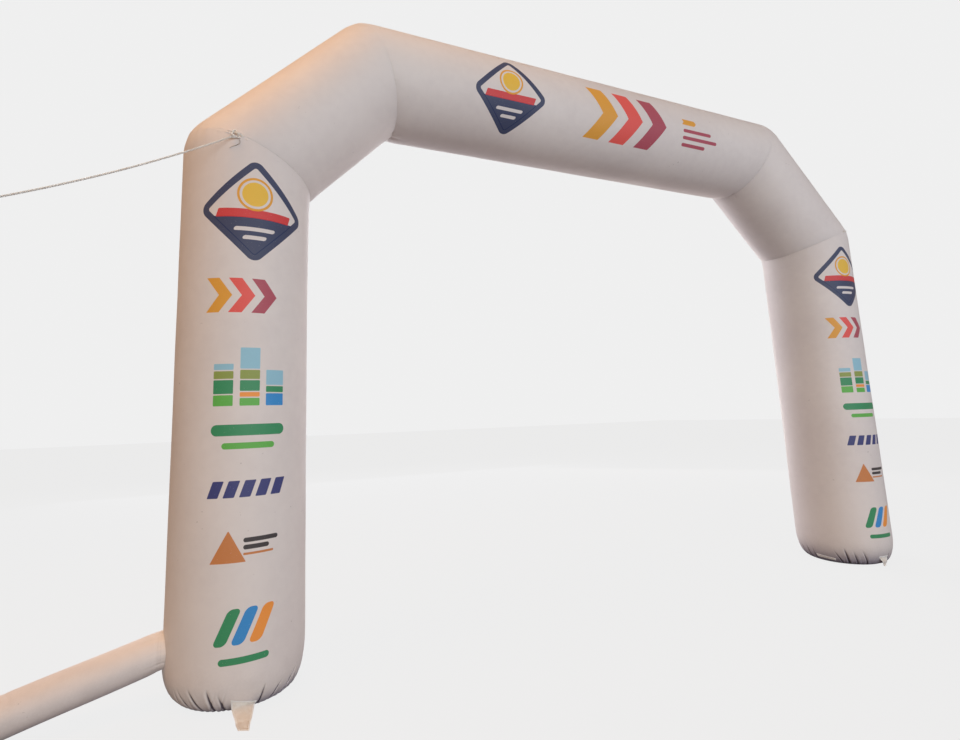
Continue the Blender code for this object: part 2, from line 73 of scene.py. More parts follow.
# gathers at the front: angle at the ground, lean with height, depth, half width, top
LEFT_CREASES = (
    (38.5, -15, 0.007, 2.6, 0.15), (50.3, -64, 0.008, 2.6, 0.16), (61.5, -60, 0.012, 2.8, 0.17),
    (71.8, -29, 0.012, 3.0, 0.17), (81.2, -43, 0.007, 2.4, 0.14), (107.6, 30, 0.008, 2.6, 0.15),
    (117.3, 89, 0.007, 2.6, 0.13), (129.0, 121, 0.010, 3.0, 0.16))
RIGHT_CREASES = (
    (116.6, 62, 0.008, 2.6, 0.17), (130.7, 46, 0.007, 2.6, 0.16), (142.1, 34, 0.012, 3.0, 0.18),
    (150.3, 69, 0.008, 2.6, 0.15), (189.5, 0, 0.006, 2.4, 0.15), (199.5, 0, 0.007, 2.6, 0.16))
LEFT_OUT = ((85, 56), (0, 14))          # no drawn gathers within these angles of the leg
RIGHT_OUT = ((95, 10), (157, 50))

TAB_T = 0.003
FLOOR_TAB_Z = TAB_T / 2
SEWN_GAP = 0.0005

DUCT_R = 0.118
DUCT_Y = -0.055
DUCT_Z = 0.317
DUCT_LAND_X = -4.56
DUCT_LAND_Y = -0.135
DUCT_REST_Z = 0.1155
DUCT_END_X = -4.76
DUCT_CREASES = ((0.78, 0.05), (0.86, -0.04), (0.93, 0.06))     # across its top: metres from the leg, lean
CUFF_LENGTH = 0.14
CUFF_WALL = 0.003
HEM_WALL = 0.006
HEM_LENGTH = 0.030

STRAP_ANGLE = 78.0
STRAP_OFF = 0.0012
STRAP_SPAN = 0.056
STRAP_FOOT = 0.010
STRAP_RISE = 0.018
STRAP_WIDTH = 0.014
STRAP_T = 0.003
ROPE_R = 0.005
TAIL_R = 0.0028
ROPE_SAG = 0.034
ROPE_END = np.array((-4.512, -0.873, 2.9255))
LINE_START = 0.0133         # the taut line starts this far past the middle of its knot
EYE_START = 0.014           # and past the line's end
EYE_LENGTH = 0.075
EYE_WIDTH = 0.040
EYE_R = ROPE_R * 0.92
WHIPPING_AT = 0.0123

# Fineness and small folds of the skins
TUBE_SIDES = 448
LEG_SIDES = 576
DUCT_SIDES = 144
SEAM_STEPS = (0.13, 0.115, 0.10, 0.088, 0.077, 0.067, 0.058, 0.05, 0.043, 0.037, 0.031, 0.026, 0.022,
              0.018, 0.015, 0.0125, 0.0105, 0.0088, 0.0072, 0.0058, 0.0045, 0.0033, 0.0022, 0.0012, 0.0)
HIGH_STEPS = (CROTCH_REACH, 0.82, 0.74, 0.66, 0.58, 0.50, 0.43, 0.37, 0.31, 0.26, 0.22, 0.19, 0.16, 0.143)
OFF_SEAM = 1.0              # stands for any place out of a seam's reach
# pulled ridges at a seam: angle, height, half width, and the distances that they lie between
PULLS = {
    (-1, "low"): ((70.5, 0.0045, 2.6, 0.004, 0.016), (62.0, 0.0028, 2.0, 0.002, 0.022),
                  (86.5, 0.0025, 1.6, 0.004, 0.020)),
    (1, "low"): ((70.0, 0.0030, 2.4, 0.004, 0.018),),
    (-1, "high"): ((187.0, -0.0085, 2.6, -0.05, 0.08), (176.0, -0.0060, 2.0, -0.04, 0.06),
                   (181.5, 0.0050, 2.0, -0.03, 0.05)),
    (1, "high"): ((176.0, -0.0070, 2.4, -0.05, 0.07), (183.0, -0.0040, 2.0, -0.04, 0.05))}
SLACK_WAVES = 9             # the unevenness of the tight cloth, and how soon it eases off at the ends
SLACK_HEIGHT = 0.0011
SLACK_EASE = 0.3
STITCH_DIP = 0.0004         # how deep the cloth dives into a stitched seam
STITCH_WIDTH = 0.0040
GATHERS = 52                # fine gathers round a seam, between its larger puckers
FINE_CREASES = 58           # and round the bottom of a leg, between its creases
NARROWEST_FOLD = radians(0.8)
DARK_FOLD = 0.0065          # a gather this deep gets the darkest painted shade
RIM_TURN = {-1: radians(62), 1: radians(82)}    # up to here on its round, the bottom of a leg gets painted shade
PRINT_ASIDE = 0.085         # how far the right leg's print sits to the left
FLUFFED = 1.12              # the yarn of the rope stands out past its core
YARN_PITCH = 0.0011
ROPE_LAY = 7                # a full turn of the strands, in rope radii
STRAND_R = 0.58             # a strand's radius, and how far off the rope's middle it runs, in rope radii
STRAND_OFF = 0.52
STRAND_SIDES = 9
FOOT_RINGS = 36
LEG_RINGS = 46              # up the straight part of a leg
SPAN_STEP = 0.055           # between the rings of the other tubes
TAB_ROWS = 54
TAB_COLUMNS = 33
HEM = 0.010                 # of the tabs
HEM_RISE = 0.0006
EDGE_ROUND = 0.0012
KEY_CONE = radians(66)
FLOOR_HALF = 60.0
FLOOR_Z = -0.0006
FLOOR_LIT = (0.262, 0.246, 0.25, 1)         # to all light but the camera's
FLOOR_SEEN = (0.03, 0.03, 0.03, 1)          # to the camera, with a glow
FLOOR_GLOW = 0.82

UP = np.array((0.0, 0.0, 1.0))
FRONT = np.array((0.0, -1.0, 0.0))


def unit(vector):
    return vector / np.linalg.norm(vector)


def bell(distance, width):
    return np.exp(-(distance / width) ** 2)


def wrapped(angle):
    return (angle + pi) % (2 * pi) - pi


def fading(distance, reach):
    return np.maximum(0.0, 1 - distance / reach)


def even_angles(count):
    return np.arange(count) * 2 * pi / count


def paired(first, second):
    """Two values at each point, spread over the same grid."""
    return np.stack(np.broadcast_arrays(first, second), -1)


def walked(route):
    """Metres gone along a route, at each of its points."""
    return np.concatenate(([0.0], np.cumsum(np.linalg.norm(np.diff(route, axis=0), axis=1))))


# Camera

CAMERA_PLACE = GATEWAY + np.array((-3.32587825, -4.13860466, 1.74286092))
CAMERA_TURN = (22.6625847, 8.32185592, -1.93392429)     # to the right of +Y, upwards, rolled
PHOTO_WIDTH, PHOTO_HEIGHT = 960, 740
FOCAL_PIXELS = 525.358
MIDDLE_PIXELS = (448.594, 339.301)
SENSOR = 36.0


def add_camera():
    yaw, pitch, roll = (radians(turn) for turn in CAMERA_TURN)
    ahead = np.array((sin(yaw) * cos(pitch), cos(yaw) * cos(pitch), sin(pitch)))
    level = np.array((cos(yaw), -sin(yaw), 0.0))
    upright = np.cross(level, ahead)
    across = cos(roll) * level + sin(roll) * upright
    rise = cos(roll) * upright - sin(roll) * level
    data = bpy.data.cameras.new("camera")
    data.sensor_width = SENSOR
    data.lens = FOCAL_PIXELS * SENSOR / PHOTO_WIDTH
    data.shift_x = (PHOTO_WIDTH / 2 - MIDDLE_PIXELS[0]) / PHOTO_WIDTH
    data.shift_y = (MIDDLE_PIXELS[1] - PHOTO_HEIGHT / 2) / PHOTO_WIDTH
    camera = bpy.data.objects.new("camera", data)
    columns = np.stack((across, rise, -ahead, CAMERA_PLACE), axis=1)
    camera.matrix_world = Matrix([*columns.tolist(), (0, 0, 0, 1)])
    bpy.context.scene.collection.objects.link(camera)
    bpy.context.scene.camera = camera


# Shader building

def link(tree, value, socket):
    """Set a socket to a number or colour, or link another socket to it."""
    if isinstance(value, bpy.types.NodeSocket):
        tree.links.new(value, socket)
    else:
        socket.default_value = value


def put(tree, kind, settings=None, **inputs):
    """A node with its settings, and its inputs by name."""
    made = tree.nodes.new(kind)
    for setting, value in (settings or {}).items():
        setattr(made, setting, value)
    for name, value in inputs.items():
        link(tree, value, made.inputs[name.replace("_", " ")])
    return made


def calc(tree, operation, *values):
    made = tree.nodes.new("ShaderNodeMath")
    made.operation = operation
    for value, socket in zip(values, made.inputs):
        link(tree, value, socket)
    return made.outputs[0]


def ramp(tree, value, low, high, to_low=0.0, to_high=1.0):
    """value from low to high, as to_low to to_high, smoothly and held at both ends."""
    made = put(tree, "ShaderNodeMapRange", {"interpolation_type": "SMOOTHSTEP"}, Value=value)
    made.inputs["From Min"].default_value = low
    made.inputs["From Max"].default_value = high
    made.inputs["To Min"].default_value = to_low
    made.inputs["To Max"].default_value = to_high
    return made.outputs[0]


def blend(tree, share, first, second):
    """Two colours mixed."""
    made = tree.nodes.new("ShaderNodeMix")
    made.data_type = "RGBA"
    link(tree, share, made.inputs[0])
    link(tree, first, made.inputs[6])
    link(tree, second, made.inputs[7])
    return made.outputs[2]


def noise(tree, place, scale, detail=3.0, distortion=0.0):
    made = put(tree, "ShaderNodeTexNoise", Vector=place, Scale=scale, Detail=detail, Distortion=distortion)
    return made.outputs["Fac"]


def split(tree, vector):
    """The three parts of a vector."""
    return put(tree, "ShaderNodeSeparateXYZ", Vector=vector).outputs


def vector_calc(tree, operation, first, second):
    made = put(tree, "ShaderNodeVectorMath", {"operation": operation})
    link(tree, first, made.inputs[0])
    link(tree, second, made.inputs["Scale" if operation == "SCALE" else 1])
    return made.outputs[0]


def mapped(tree, name):
    """The values that the mesh carries in one of its maps."""
    return put(tree, "ShaderNodeUVMap", {"uv_map": name}).outputs[0]


def on_piece(tree):
    """Place on the piece, in metres."""
    return put(tree, "ShaderNodeTexCoord").outputs["Object"]


def effect(name, inputs, outputs):
    """An empty node group with named sockets, and its two end nodes."""
    tree = bpy.data.node_groups.new(name, "ShaderNodeTree")
    kinds = {"vector": "NodeSocketVector", "value": "NodeSocketFloat", "colour": "NodeSocketColor"}
    for label, kind, value in inputs:
        socket = tree.interface.new_socket(label, in_out="INPUT", socket_type=kinds[kind])
        socket.default_value = value
    for label, kind in outputs:
        tree.interface.new_socket(label, in_out="OUTPUT", socket_type=kinds[kind])
    return tree, tree.nodes.new("NodeGroupInput").outputs, tree.nodes.new("NodeGroupOutput").inputs


def use(tree, group, **inputs):
    """Place a node group in a tree; gives its outputs."""
    return put(tree, "ShaderNodeGroup", {"node_tree": group}, **inputs).outputs


def rgb(red, green, blue):
    """A colour by its screen values, 0 to 255."""
    shares = (red / 255, green / 255, blue / 255)
    return (*(c / 12.92 if c < 0.0405 else ((c + 0.055) / 1.055) ** 2.4 for c in shares), 1.0)


# Shared effects

PLACE = ("Place", "vector", (0, 0, 0))


def woven_threads():
    """Height of a plain weave; Place is in metres over the cloth."""
    tree, given, made = effect("Woven threads", (PLACE, ("Pitch", "value", 0.001)), (("Height", "value"),))
    across, along, _ = split(tree, given["Place"])
    warp, weft = (calc(tree, "SINE", calc(tree, "MULTIPLY", calc(tree, "DIVIDE", part, given["Pitch"]), pi))
                  for part in (across, along))
    over = calc(tree, "MULTIPLY", warp, weft)
    link(tree, calc(tree, "MULTIPLY_ADD", over, 0.35, calc(tree, "ABSOLUTE", over)), made["Height"])
    return tree


def stitch_rows():
    """Two rows of stitches along a seam. Place is the distance along the seam and off it, in metres."""
    tree, given, made = effect("Stitch rows", (
        PLACE, ("First Row", "value", 0.008), ("Second Row", "value", 0.014), ("Stitch", "value", 0.0045)),
        (("Mask", "value"),))
    along, off, _ = split(tree, given["Place"])
    rows = [ramp(tree, calc(tree, "ABSOLUTE", calc(tree, "SUBTRACT", off, given[row])), 0.0009, 0.0004)
            for row in ("First Row", "Second Row")]
    beat = calc(tree, "FRACT", calc(tree, "DIVIDE", along, given["Stitch"]))
    thread = ramp(tree, calc(tree, "ABSOLUTE", calc(tree, "SUBTRACT", beat, 0.5)), 0.42, 0.34)
    link(tree, calc(tree, "MULTIPLY", calc(tree, "MAXIMUM", *rows), thread), made["Mask"])
    return tree


def ground_soil():
    """Splashed dirt that fades upwards from the ground."""
    tree, given, made = effect("Ground soil", (PLACE, ("Reach", "value", 0.35), ("Amount", "value", 0.5)),
                               (("Mask", "value"),))
    height = split(tree, given["Place"])[2]
    low = calc(tree, "SUBTRACT", 1.0, calc(tree, "DIVIDE", height, given["Reach"]))
    cloud = noise(tree, given["Place"], 5.0, 5.0, 0.6)
    speck = noise(tree, given["Place"], 70.0, 4.0)
    patch = calc(tree, "ADD", calc(tree, "MULTIPLY", cloud, 0.8), calc(tree, "MULTIPLY", speck, 0.5))
    soil = calc(tree, "MULTIPLY", ramp(tree, low, 0.0, 1.1), ramp(tree, patch, 0.5, 0.85))
    link(tree, calc(tree, "MULTIPLY", soil, given["Amount"]), made["Mask"])
    return tree


def cloth_tone():
    """Slow changes of tone over a large cloth, and handling marks."""
    tree, given, made = effect("Cloth tone", (PLACE,), (("Tone", "value"), ("Marks", "value")))
    wide = noise(tree, given["Place"], 0.9, 2.0, 0.3)
    fine = noise(tree, given["Place"], 14.0, 5.0, 0.2)
    link(tree, calc(tree, "MULTIPLY_ADD", wide, 0.75, calc(tree, "MULTIPLY", fine, 0.25)), made["Tone"])
    spots = noise(tree, given["Place"], 38.0, 2.0)
    rare = noise(tree, given["Place"], 3.1, 2.0)
    marks = calc(tree, "MULTIPLY", ramp(tree, spots, 0.71, 0.76), ramp(tree, rare, 0.52, 0.66))
    link(tree, marks, made["Marks"])
    return tree


def cloth_crumple():
    """Height of the faint crumples that stay in coated cloth after it was packed away."""
    tree, given, made = effect("Cloth crumple", (PLACE, ("Scale", "value", 6.0)), (("Height", "value"),))
    bent = put(tree, "ShaderNodeTexNoise", Vector=given["Place"], Scale=given["Scale"], Detail=3.0)
    moved = vector_calc(tree, "ADD", given["Place"], vector_calc(tree, "SCALE", bent.outputs["Color"], 0.25))
    cells = put(tree, "ShaderNodeTexVoronoi", {"feature": "DISTANCE_TO_EDGE"}, Vector=moved,
                Scale=given["Scale"])
    ridge = ramp(tree, cells.outputs["Distance"], 0.0, 0.10, 1.0, 0.0)
    swell = noise(tree, given["Place"], given["Scale"], 2.0)
    link(tree, calc(tree, "MULTIPLY_ADD", ridge, 0.25, swell), made["Height"])
    return tree


def ink_mark():
    """Mask of one printed shape: a box with its corner, turn, slant, chevron fold and taper, or its outline.

    Place, Middle and Half Size are in metres on the cloth. Line is the width of the outline, and a
    mark that it fills is solid.
    """
    tree, given, made = effect("Ink mark", (
        PLACE, ("Middle", "vector", (0, 0, 0)), ("Half Size", "vector", (0.1, 0.1, 0)),
        *((form, "value", 0.0) for form in ("Corner", "Turn", "Slant", "Chevron", "Taper")),
        ("Line", "value", 10.0)), (("Mask", "value"),))
    turned = put(tree, "ShaderNodeVectorRotate", {"rotation_type": "Z_AXIS"},
                 Vector=vector_calc(tree, "SUBTRACT", given["Place"], given["Middle"]),
                 Angle=calc(tree, "MULTIPLY", given["Turn"], -1.0))
    right, up, _ = split(tree, turned.outputs[0])
    half_right, half_up, _ = split(tree, given["Half Size"])
    off = calc(tree, "ABSOLUTE", up)
    lean = calc(tree, "MULTIPLY_ADD", given["Chevron"], off, calc(tree, "MULTIPLY", given["Slant"], up))
    wide = calc(tree, "ABSOLUTE", calc(tree, "ADD", right, lean))
    edge = calc(tree, "SUBTRACT", half_right, calc(tree, "MULTIPLY", given["Taper"], up))
    past_right = calc(tree, "ADD", calc(tree, "SUBTRACT", wide, edge), given["Corner"])
    past_up = calc(tree, "ADD", calc(tree, "SUBTRACT", off, half_up), given["Corner"])
    squares = [calc(tree, "POWER", calc(tree, "MAXIMUM", past, 0.0), 2.0) for past in (past_right, past_up)]
    outside = calc(tree, "SQRT", calc(tree, "ADD", *squares))
    inside = calc(tree, "MINIMUM", calc(tree, "MAXIMUM", past_right, past_up), 0.0)
    distance = calc(tree, "SUBTRACT", calc(tree, "ADD", outside, inside), given["Corner"])
    half_line = calc(tree, "MULTIPLY", given["Line"], 0.5)
    drawn = calc(tree, "SUBTRACT", calc(tree, "ABSOLUTE", calc(tree, "ADD", distance, half_line)), half_line)
    link(tree, ramp(tree, drawn, -0.0008, 0.0008, 1.0, 0.0), made["Mask"])
    return tree


THREADS = woven_threads()
STITCHES = stitch_rows()
SOIL = ground_soil()
TONE = cloth_tone()
CRUMPLE = cloth_crumple()
INK_MARK = ink_mark()


# Prints

NAVY = rgb(22, 44, 88)
YELLOW = rgb(238, 192, 50)
RED = rgb(214, 38, 42)
CORAL = rgb(234, 76, 66)
AMBER = rgb(230, 160, 30)
WINE = rgb(174, 60, 82)
SKY = rgb(146, 200, 220)
OLIVE = rgb(140, 158, 64)
PINE = rgb(0, 142, 86)
LEAF = rgb(86, 184, 62)
ORANGE = rgb(248, 152, 44)
AZURE = rgb(0, 140, 214)
INDIGO = rgb(26, 42, 118)
CLAY = rgb(206, 126, 58)
CHARCOAL = rgb(34, 28, 32)
PALE_INK = rgb(228, 222, 220)


def mark(ink, right, up, half_right, half_up, corner=0.0, turn=0.0, **shape):
    """One printed shape, by its middle and half sizes in metres; turn is in degrees."""
    return ink, dict(Middle=(right, up, 0), Half_Size=(half_right, half_up, 0), Corner=corner,
                     Turn=radians(turn), **shape)


def disc(ink, right, up, radius, **shape):
    return mark(ink, right, up, radius, radius, radius, **shape)


def emblem(right, up, size):
    """A navy diamond: a sun over a red band and striped water."""
    return [
        mark(NAVY, right, up, 0.210 * size, 0.210 * size, 0.05 * size, 45, Line=0.036 * size),
        mark(NAVY, right, up - 0.142 * size, 0.112 * size, 0.104 * size, 0.004 * size, Taper=-1.0),
        mark(PALE_INK, right, up - 0.105 * size, 0.105 * size, 0.011 * size, 0.011 * size, Slant=-0.4),
        mark(PALE_INK, right, up - 0.152 * size, 0.060 * size, 0.011 * size, 0.011 * size, Slant=-0.4),
        mark(RED, right, up - 0.018 * size, 0.195 * size, 0.024 * size, 0.006 * size, Slant=-0.3),
        disc(YELLOW, right, up + 0.092 * size, 0.068 * size),
        disc(AMBER, right, up + 0.092 * size, 0.094 * size, Line=0.013 * size)]


def arrows(right, up, size):
    """Three chevrons in a row."""
    return [mark(ink, right + place * size, up, 0.038 * size, 0.105 * size, Chevron=0.72)
            for ink, place in ((AMBER, -0.135), (CORAL, -0.005), (WINE, 0.125))]


def columns(right, up):
    """Three stacks of coloured blocks."""
    stacks = ((-0.165, ((LEAF, 0.07), (PINE, 0.09), (OLIVE, 0.05), (SKY, 0.04))),
              (0.0, ((LEAF, 0.05), (ORANGE, 0.03), (PINE, 0.07), (OLIVE, 0.06), (SKY, 0.14))),
              (0.165, ((AZURE, 0.08), (PINE, 0.04), (SKY, 0.10))))
    made = []
    for offset, blocks in stacks:
        base = up - 0.185
        for ink, tall in blocks:
            made.append(mark(ink, right + offset, base + tall / 2, 0.062, tall / 2, 0.006))
            base += tall + 0.008
    return made


def leg_marks():
    made = emblem(0.045, 3.19, 1.28)
    made += arrows(0.02, 2.59, 1.12)
    made += columns(0.035, 2.04)
    made += [mark(PINE, 0.035, 1.70, 0.235, 0.036, 0.036), mark(LEAF, 0.035, 1.60, 0.165, 0.020, 0.020)]
    made += [mark(INDIGO, 0.035 + 0.098 * (i - 2), 1.33, 0.034, 0.052, 0.006, Slant=-0.35) for i in range(5)]
    made += [mark(CLAY, -0.075, 0.98, 0.055, 0.095, 0.004, Taper=0.55),
             mark(CHARCOAL, 0.125, 1.015, 0.110, 0.014, 0.014),
             mark(CHARCOAL, 0.095, 0.972, 0.080, 0.014, 0.014),
             mark(CLAY, 0.110, 0.932, 0.095, 0.007, 0.007)]
    made += [mark(ink, 0.035 + place, 0.51, 0.038, 0.105, 0.030, Slant=-0.45)
             for ink, place in ((PINE, -0.105), (AZURE, 0.0), (ORANGE, 0.105))]
    made.append(mark(PINE, 0.035, 0.315, 0.150, 0.020, 0.020))
    return made


def beam_marks():
    made = emblem(-1.10, -0.11, 1.25)
    made += arrows(0.30, -0.09, 2.35)
    made.append(mark(AMBER, 1.00, 0.015, 0.085, 0.030, 0.010, Chevron=0.8))
    made += [mark(WINE, 1.10 + shift, up, half, 0.017, 0.017)
             for up, half, shift in ((-0.075, 0.19, 0.0), (-0.145, 0.235, 0.045), (-0.215, 0.16, -0.03))]
    return made


def printed(name, marks):
    """A node group that prints marks on the cloth's colour."""
    tree, given, made = effect(name, (PLACE, ("Cloth", "colour", (1, 1, 1, 1)), ("Strength", "value", 1.0)),
                               (("Colour", "colour"), ("Ink", "value")))
    colour = given["Cloth"]
    total = 0.0
    for ink, shape in marks:
        mask = use(tree, INK_MARK, Place=given["Place"], **shape)["Mask"]
        colour = blend(tree, calc(tree, "MULTIPLY", mask, given["Strength"]), colour, ink)
        total = calc(tree, "MAXIMUM", mask, total)
    link(tree, colour, made["Colour"])
    link(tree, total, made["Ink"])
    return tree


# Materials

CLOTH_WHITE = (0.80, 0.75, 0.72, 1)
SEAM_THREAD = rgb(196, 188, 182)
HANDLED = rgb(92, 78, 66)
SPLASHED = rgb(120, 98, 78)
# Painted shade: RIM_SHADE under the lower edges, FOLD_SHADE deep in the gathers
RIM_SHADE = rgb(106, 98, 126)
FOLD_SHADE = rgb(58, 48, 66)
HEM_WHITE = rgb(255, 255, 252)
HEM_THREAD = rgb(238, 228, 212)


def new_material(name, **shader_values):
    """A material and its shader, with the shader's constant values set on its own sockets."""
    made = bpy.data.materials.new(name)
    made.use_nodes = True
    shader = made.node_tree.nodes["Principled BSDF"]
    for socket, value in shader_values.items():
        shader.inputs[socket.replace("_", " ")].default_value = value
    return made, made.node_tree, shader


def bumped(tree, shader, height, distance, strength=1.0):
    bump = put(tree, "ShaderNodeBump", Strength=strength, Distance=distance, Height=height)
    tree.links.new(bump.outputs[0], shader.inputs["Normal"])


def coated_cloth(name, cloth, print_group=None, crumple=1.0, soil=0.10, gathered=False):
    """White coated cloth: weave, stitched seams, faint crumples and ground soil.

    Where given, it has a print, and painted shade deep in its gathers and under its lower edge.
    """
    made, tree, shader = new_material(name, Sheen_Weight=0.12, Sheen_Roughness=0.5, IOR=1.47)
    place = on_piece(tree)
    flat = mapped(tree, "cloth")
    tone = use(tree, TONE, Place=place)
    rows = use(tree, STITCHES, Place=mapped(tree, "seam"))["Mask"]
    dirt = use(tree, SOIL, Place=place, Reach=0.5, Amount=soil)["Mask"]
    darker = tuple(c * s for c, s in zip(cloth, (0.90, 0.89, 0.90, 1)))
    colour = blend(tree, ramp(tree, tone["Tone"], 0.3, 0.7), darker, cloth)
    rough = ramp(tree, tone["Tone"], 0.35, 0.65, 0.64, 0.56)
    if print_group:
        worn = ramp(tree, noise(tree, place, 160.0, 4.0), 0.68, 0.74, 0.95, 0.55)
        ink = use(tree, print_group, Place=flat, Cloth=colour, Strength=worn)
        colour = ink["Colour"]
        rough = calc(tree, "MULTIPLY_ADD", ink["Ink"], -0.06, rough)
    colour = blend(tree, calc(tree, "MULTIPLY", rows, 0.18), colour, SEAM_THREAD)
    colour = blend(tree, calc(tree, "MULTIPLY", tone["Marks"], 0.35), colour, HANDLED)
    colour = blend(tree, dirt, colour, SPLASHED)
    if gathered:
        # Painted shade: RIM_SHADE towards the lower edge, FOLD_SHADE deep in the gathers
        deep, rim, _ = split(tree, mapped(tree, "folds"))
        colour = blend(tree, ramp(tree, rim, 0.0, 0.9, 0.0, 0.90), colour, RIM_SHADE)
        colour = blend(tree, ramp(tree, deep, 0.08, 0.65, 0.0, 0.92), colour, FOLD_SHADE)
    link(tree, colour, shader.inputs["Base Color"])
    link(tree, calc(tree, "MULTIPLY_ADD", dirt, 0.35, rough), shader.inputs["Roughness"])
    weave = use(tree, THREADS, Place=flat, Pitch=0.0012)["Height"]
    crumples = use(tree, CRUMPLE, Place=place, Scale=3.2)["Height"]
    height = calc(tree, "MULTIPLY_ADD", rows, 0.3, calc(tree, "MULTIPLY", weave, 0.05))
    bumped(tree, shader, calc(tree, "MULTIPLY_ADD", crumples, 0.9 * crumple, height), 0.001)
    return made


plain_cloth = coated_cloth("plain coated cloth", CLOTH_WHITE)
# The legs and the duct take painted shade in their gathers and under their lower edges
leg_cloth = coated_cloth("printed leg cloth", CLOTH_WHITE, printed("Leg print", leg_marks()), gathered=True)
beam_cloth = coated_cloth("printed beam cloth", CLOTH_WHITE, printed("Beam print", beam_marks()))
duct_cloth = coated_cloth("duct cloth", CLOTH_WHITE, crumple=0.7, soil=0.12, gathered=True)


def heavy_cloth(name, colour, worn, pitch, soil, stitched=True):
    """Uncoated woven cloth of the tabs and the ground panels."""
    made, tree, shader = new_material(name, Sheen_Weight=0.6, Sheen_Roughness=0.6)
    place = on_piece(tree)
    flat = mapped(tree, "cloth") if stitched else place
    grain = use(tree, THREADS, Place=flat, Pitch=pitch)["Height"]
    dirt = use(tree, SOIL, Place=place, Reach=0.3, Amount=soil)["Mask"]
    patch = ramp(tree, noise(tree, place, 24.0, 5.0, 0.4), 0.38, 0.66)
    shade = blend(tree, patch, worn, colour)
    shade = blend(tree, calc(tree, "MULTIPLY", grain, 0.12), shade, (0.9, 0.88, 0.84, 1))
    height = grain
    if stitched:
        seam = mapped(tree, "seam")
        rows = use(tree, STITCHES, Place=seam, First_Row=0.009, Second_Row=0.0125, Stitch=0.004)["Mask"]
        hem = ramp(tree, split(tree, seam)[1], 0.0125, 0.0095)
        shade = blend(tree, hem, shade, HEM_WHITE)
        shade = blend(tree, rows, shade, HEM_THREAD)
        height = calc(tree, "MULTIPLY_ADD", rows, 1.2, grain)
    link(tree, blend(tree, dirt, shade, rgb(104, 84, 66)), shader.inputs["Base Color"])
    link(tree, ramp(tree, patch, 0.0, 1.0, 0.82, 0.66), shader.inputs["Roughness"])
    bumped(tree, shader, height, 0.0005)
    return made


tab_cloth = heavy_cloth("tab cloth", rgb(250, 246, 238), rgb(240, 233, 222), 0.0011, 0.06)
panel_cloth = heavy_cloth("ground panel cloth", rgb(120, 116, 122), rgb(96, 92, 98), 0.0022, 0.8,
                          stitched=False)


def webbing(name, colour):
    """Narrow woven strap: ribs along it and a crossed thread at each rib."""
    made, tree, shader = new_material(name, Sheen_Weight=0.8, Sheen_Roughness=0.6)
    ribs = use(tree, THREADS, Place=mapped(tree, "cloth"), Pitch=0.0014)["Height"]
    patch = ramp(tree, noise(tree, on_piece(tree), 90.0, 4.0), 0.35, 0.7)
    dull = (*(c * 0.9 for c in colour[:3]), 1)
    shade = blend(tree, ramp(tree, ribs, 0.0, 0.5, 0.2, 0.0), blend(tree, patch, dull, colour),
                  rgb(160, 142, 124))
    link(tree, shade, shader.inputs["Base Color"])
    link(tree, ramp(tree, patch, 0.0, 1.0, 0.85, 0.7), shader.inputs["Roughness"])
    bumped(tree, shader, ribs, 0.0007)
    return made


strap_webbing = webbing("strap webbing", rgb(255, 250, 240))


def rope_fibre(name, colour, dull):
    """Twisted rope yarn: fine threads round each strand, fluff and grime in the lay."""
    made, tree, shader = new_material(name, Sheen_Weight=0.9, Sheen_Roughness=0.6)
    place = on_piece(tree)
    turned = put(tree, "ShaderNodeVectorRotate", {"rotation_type": "Z_AXIS"}, Vector=mapped(tree, "cloth"),
                 Angle=radians(38))
    across = split(tree, turned.outputs[0])[0]
    yarns = calc(tree, "SINE", calc(tree, "MULTIPLY", across, 2 * pi / YARN_PITCH))
    fluff = noise(tree, place, 700.0, 3.0)
    grime = ramp(tree, noise(tree, place, 30.0, 5.0), 0.4, 0.75)
    shade = blend(tree, calc(tree, "MULTIPLY", grime, 0.45), colour, dull)
    shade = blend(tree, ramp(tree, yarns, -1.0, 0.2, 0.25, 0.0), shade, dull)
    link(tree, shade, shader.inputs["Base Color"])
    link(tree, ramp(tree, fluff, 0.3, 0.7, 0.92, 0.7), shader.inputs["Roughness"])
    bumped(tree, shader, calc(tree, "MULTIPLY_ADD", yarns, 0.6, fluff), 0.0004)
    return made


rope_yarn = rope_fibre("rope yarn", rgb(255, 254, 248), rgb(240, 228, 212))
# The free end is a thinner, greyer cord than the rope; its grey is also painted shade for the shadow it lies
# in on the leg
tail_yarn = rope_fibre("tail yarn", rgb(198, 186, 176), rgb(128, 112, 102))


# Skins

def new_piece(name, mesh, material, nodes):
    """A shown piece that rides on the arch and stands for CAD nodes."""
    mesh.materials.append(material)
    piece = bpy.data.objects.new(name, mesh)
    bpy.context.scene.collection.objects.link(piece)
    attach(piece, "root")
    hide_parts(*nodes)
    return piece


def smooth_mesh(name, points, faces, sharp):
    """A smooth mesh with its faces outward; edges that turn by more than sharp degrees stay sharp."""
    mesh = bpy.data.meshes.new(name)
    mesh.from_pydata((points + GATEWAY).tolist(), [], faces)
    bm = bmesh.new()
    bm.from_mesh(mesh)
    bmesh.ops.recalc_face_normals(bm, faces=bm.faces)
    bm.to_mesh(mesh)
    bm.free()
    mesh.shade_smooth()
    mesh.set_sharp_from_angle(angle=radians(sharp))
    return mesh


def face_corners(mesh):
    """The point and the face of each corner, and how many corners each face has."""
    points = np.empty(len(mesh.loops), int)
    mesh.loops.foreach_get("vertex_index", points)
    sizes = np.empty(len(mesh.polygons), int)
    mesh.polygons.foreach_get("loop_total", sizes)
    return points, np.repeat(np.arange(len(sizes)), sizes), sizes


def fill_map(mesh, label, values):
    layer = mesh.uv_layers.get(label) or mesh.uv_layers.new(name=label)
    layer.uv.foreach_set("vector", values.astype(np.float32).ravel())


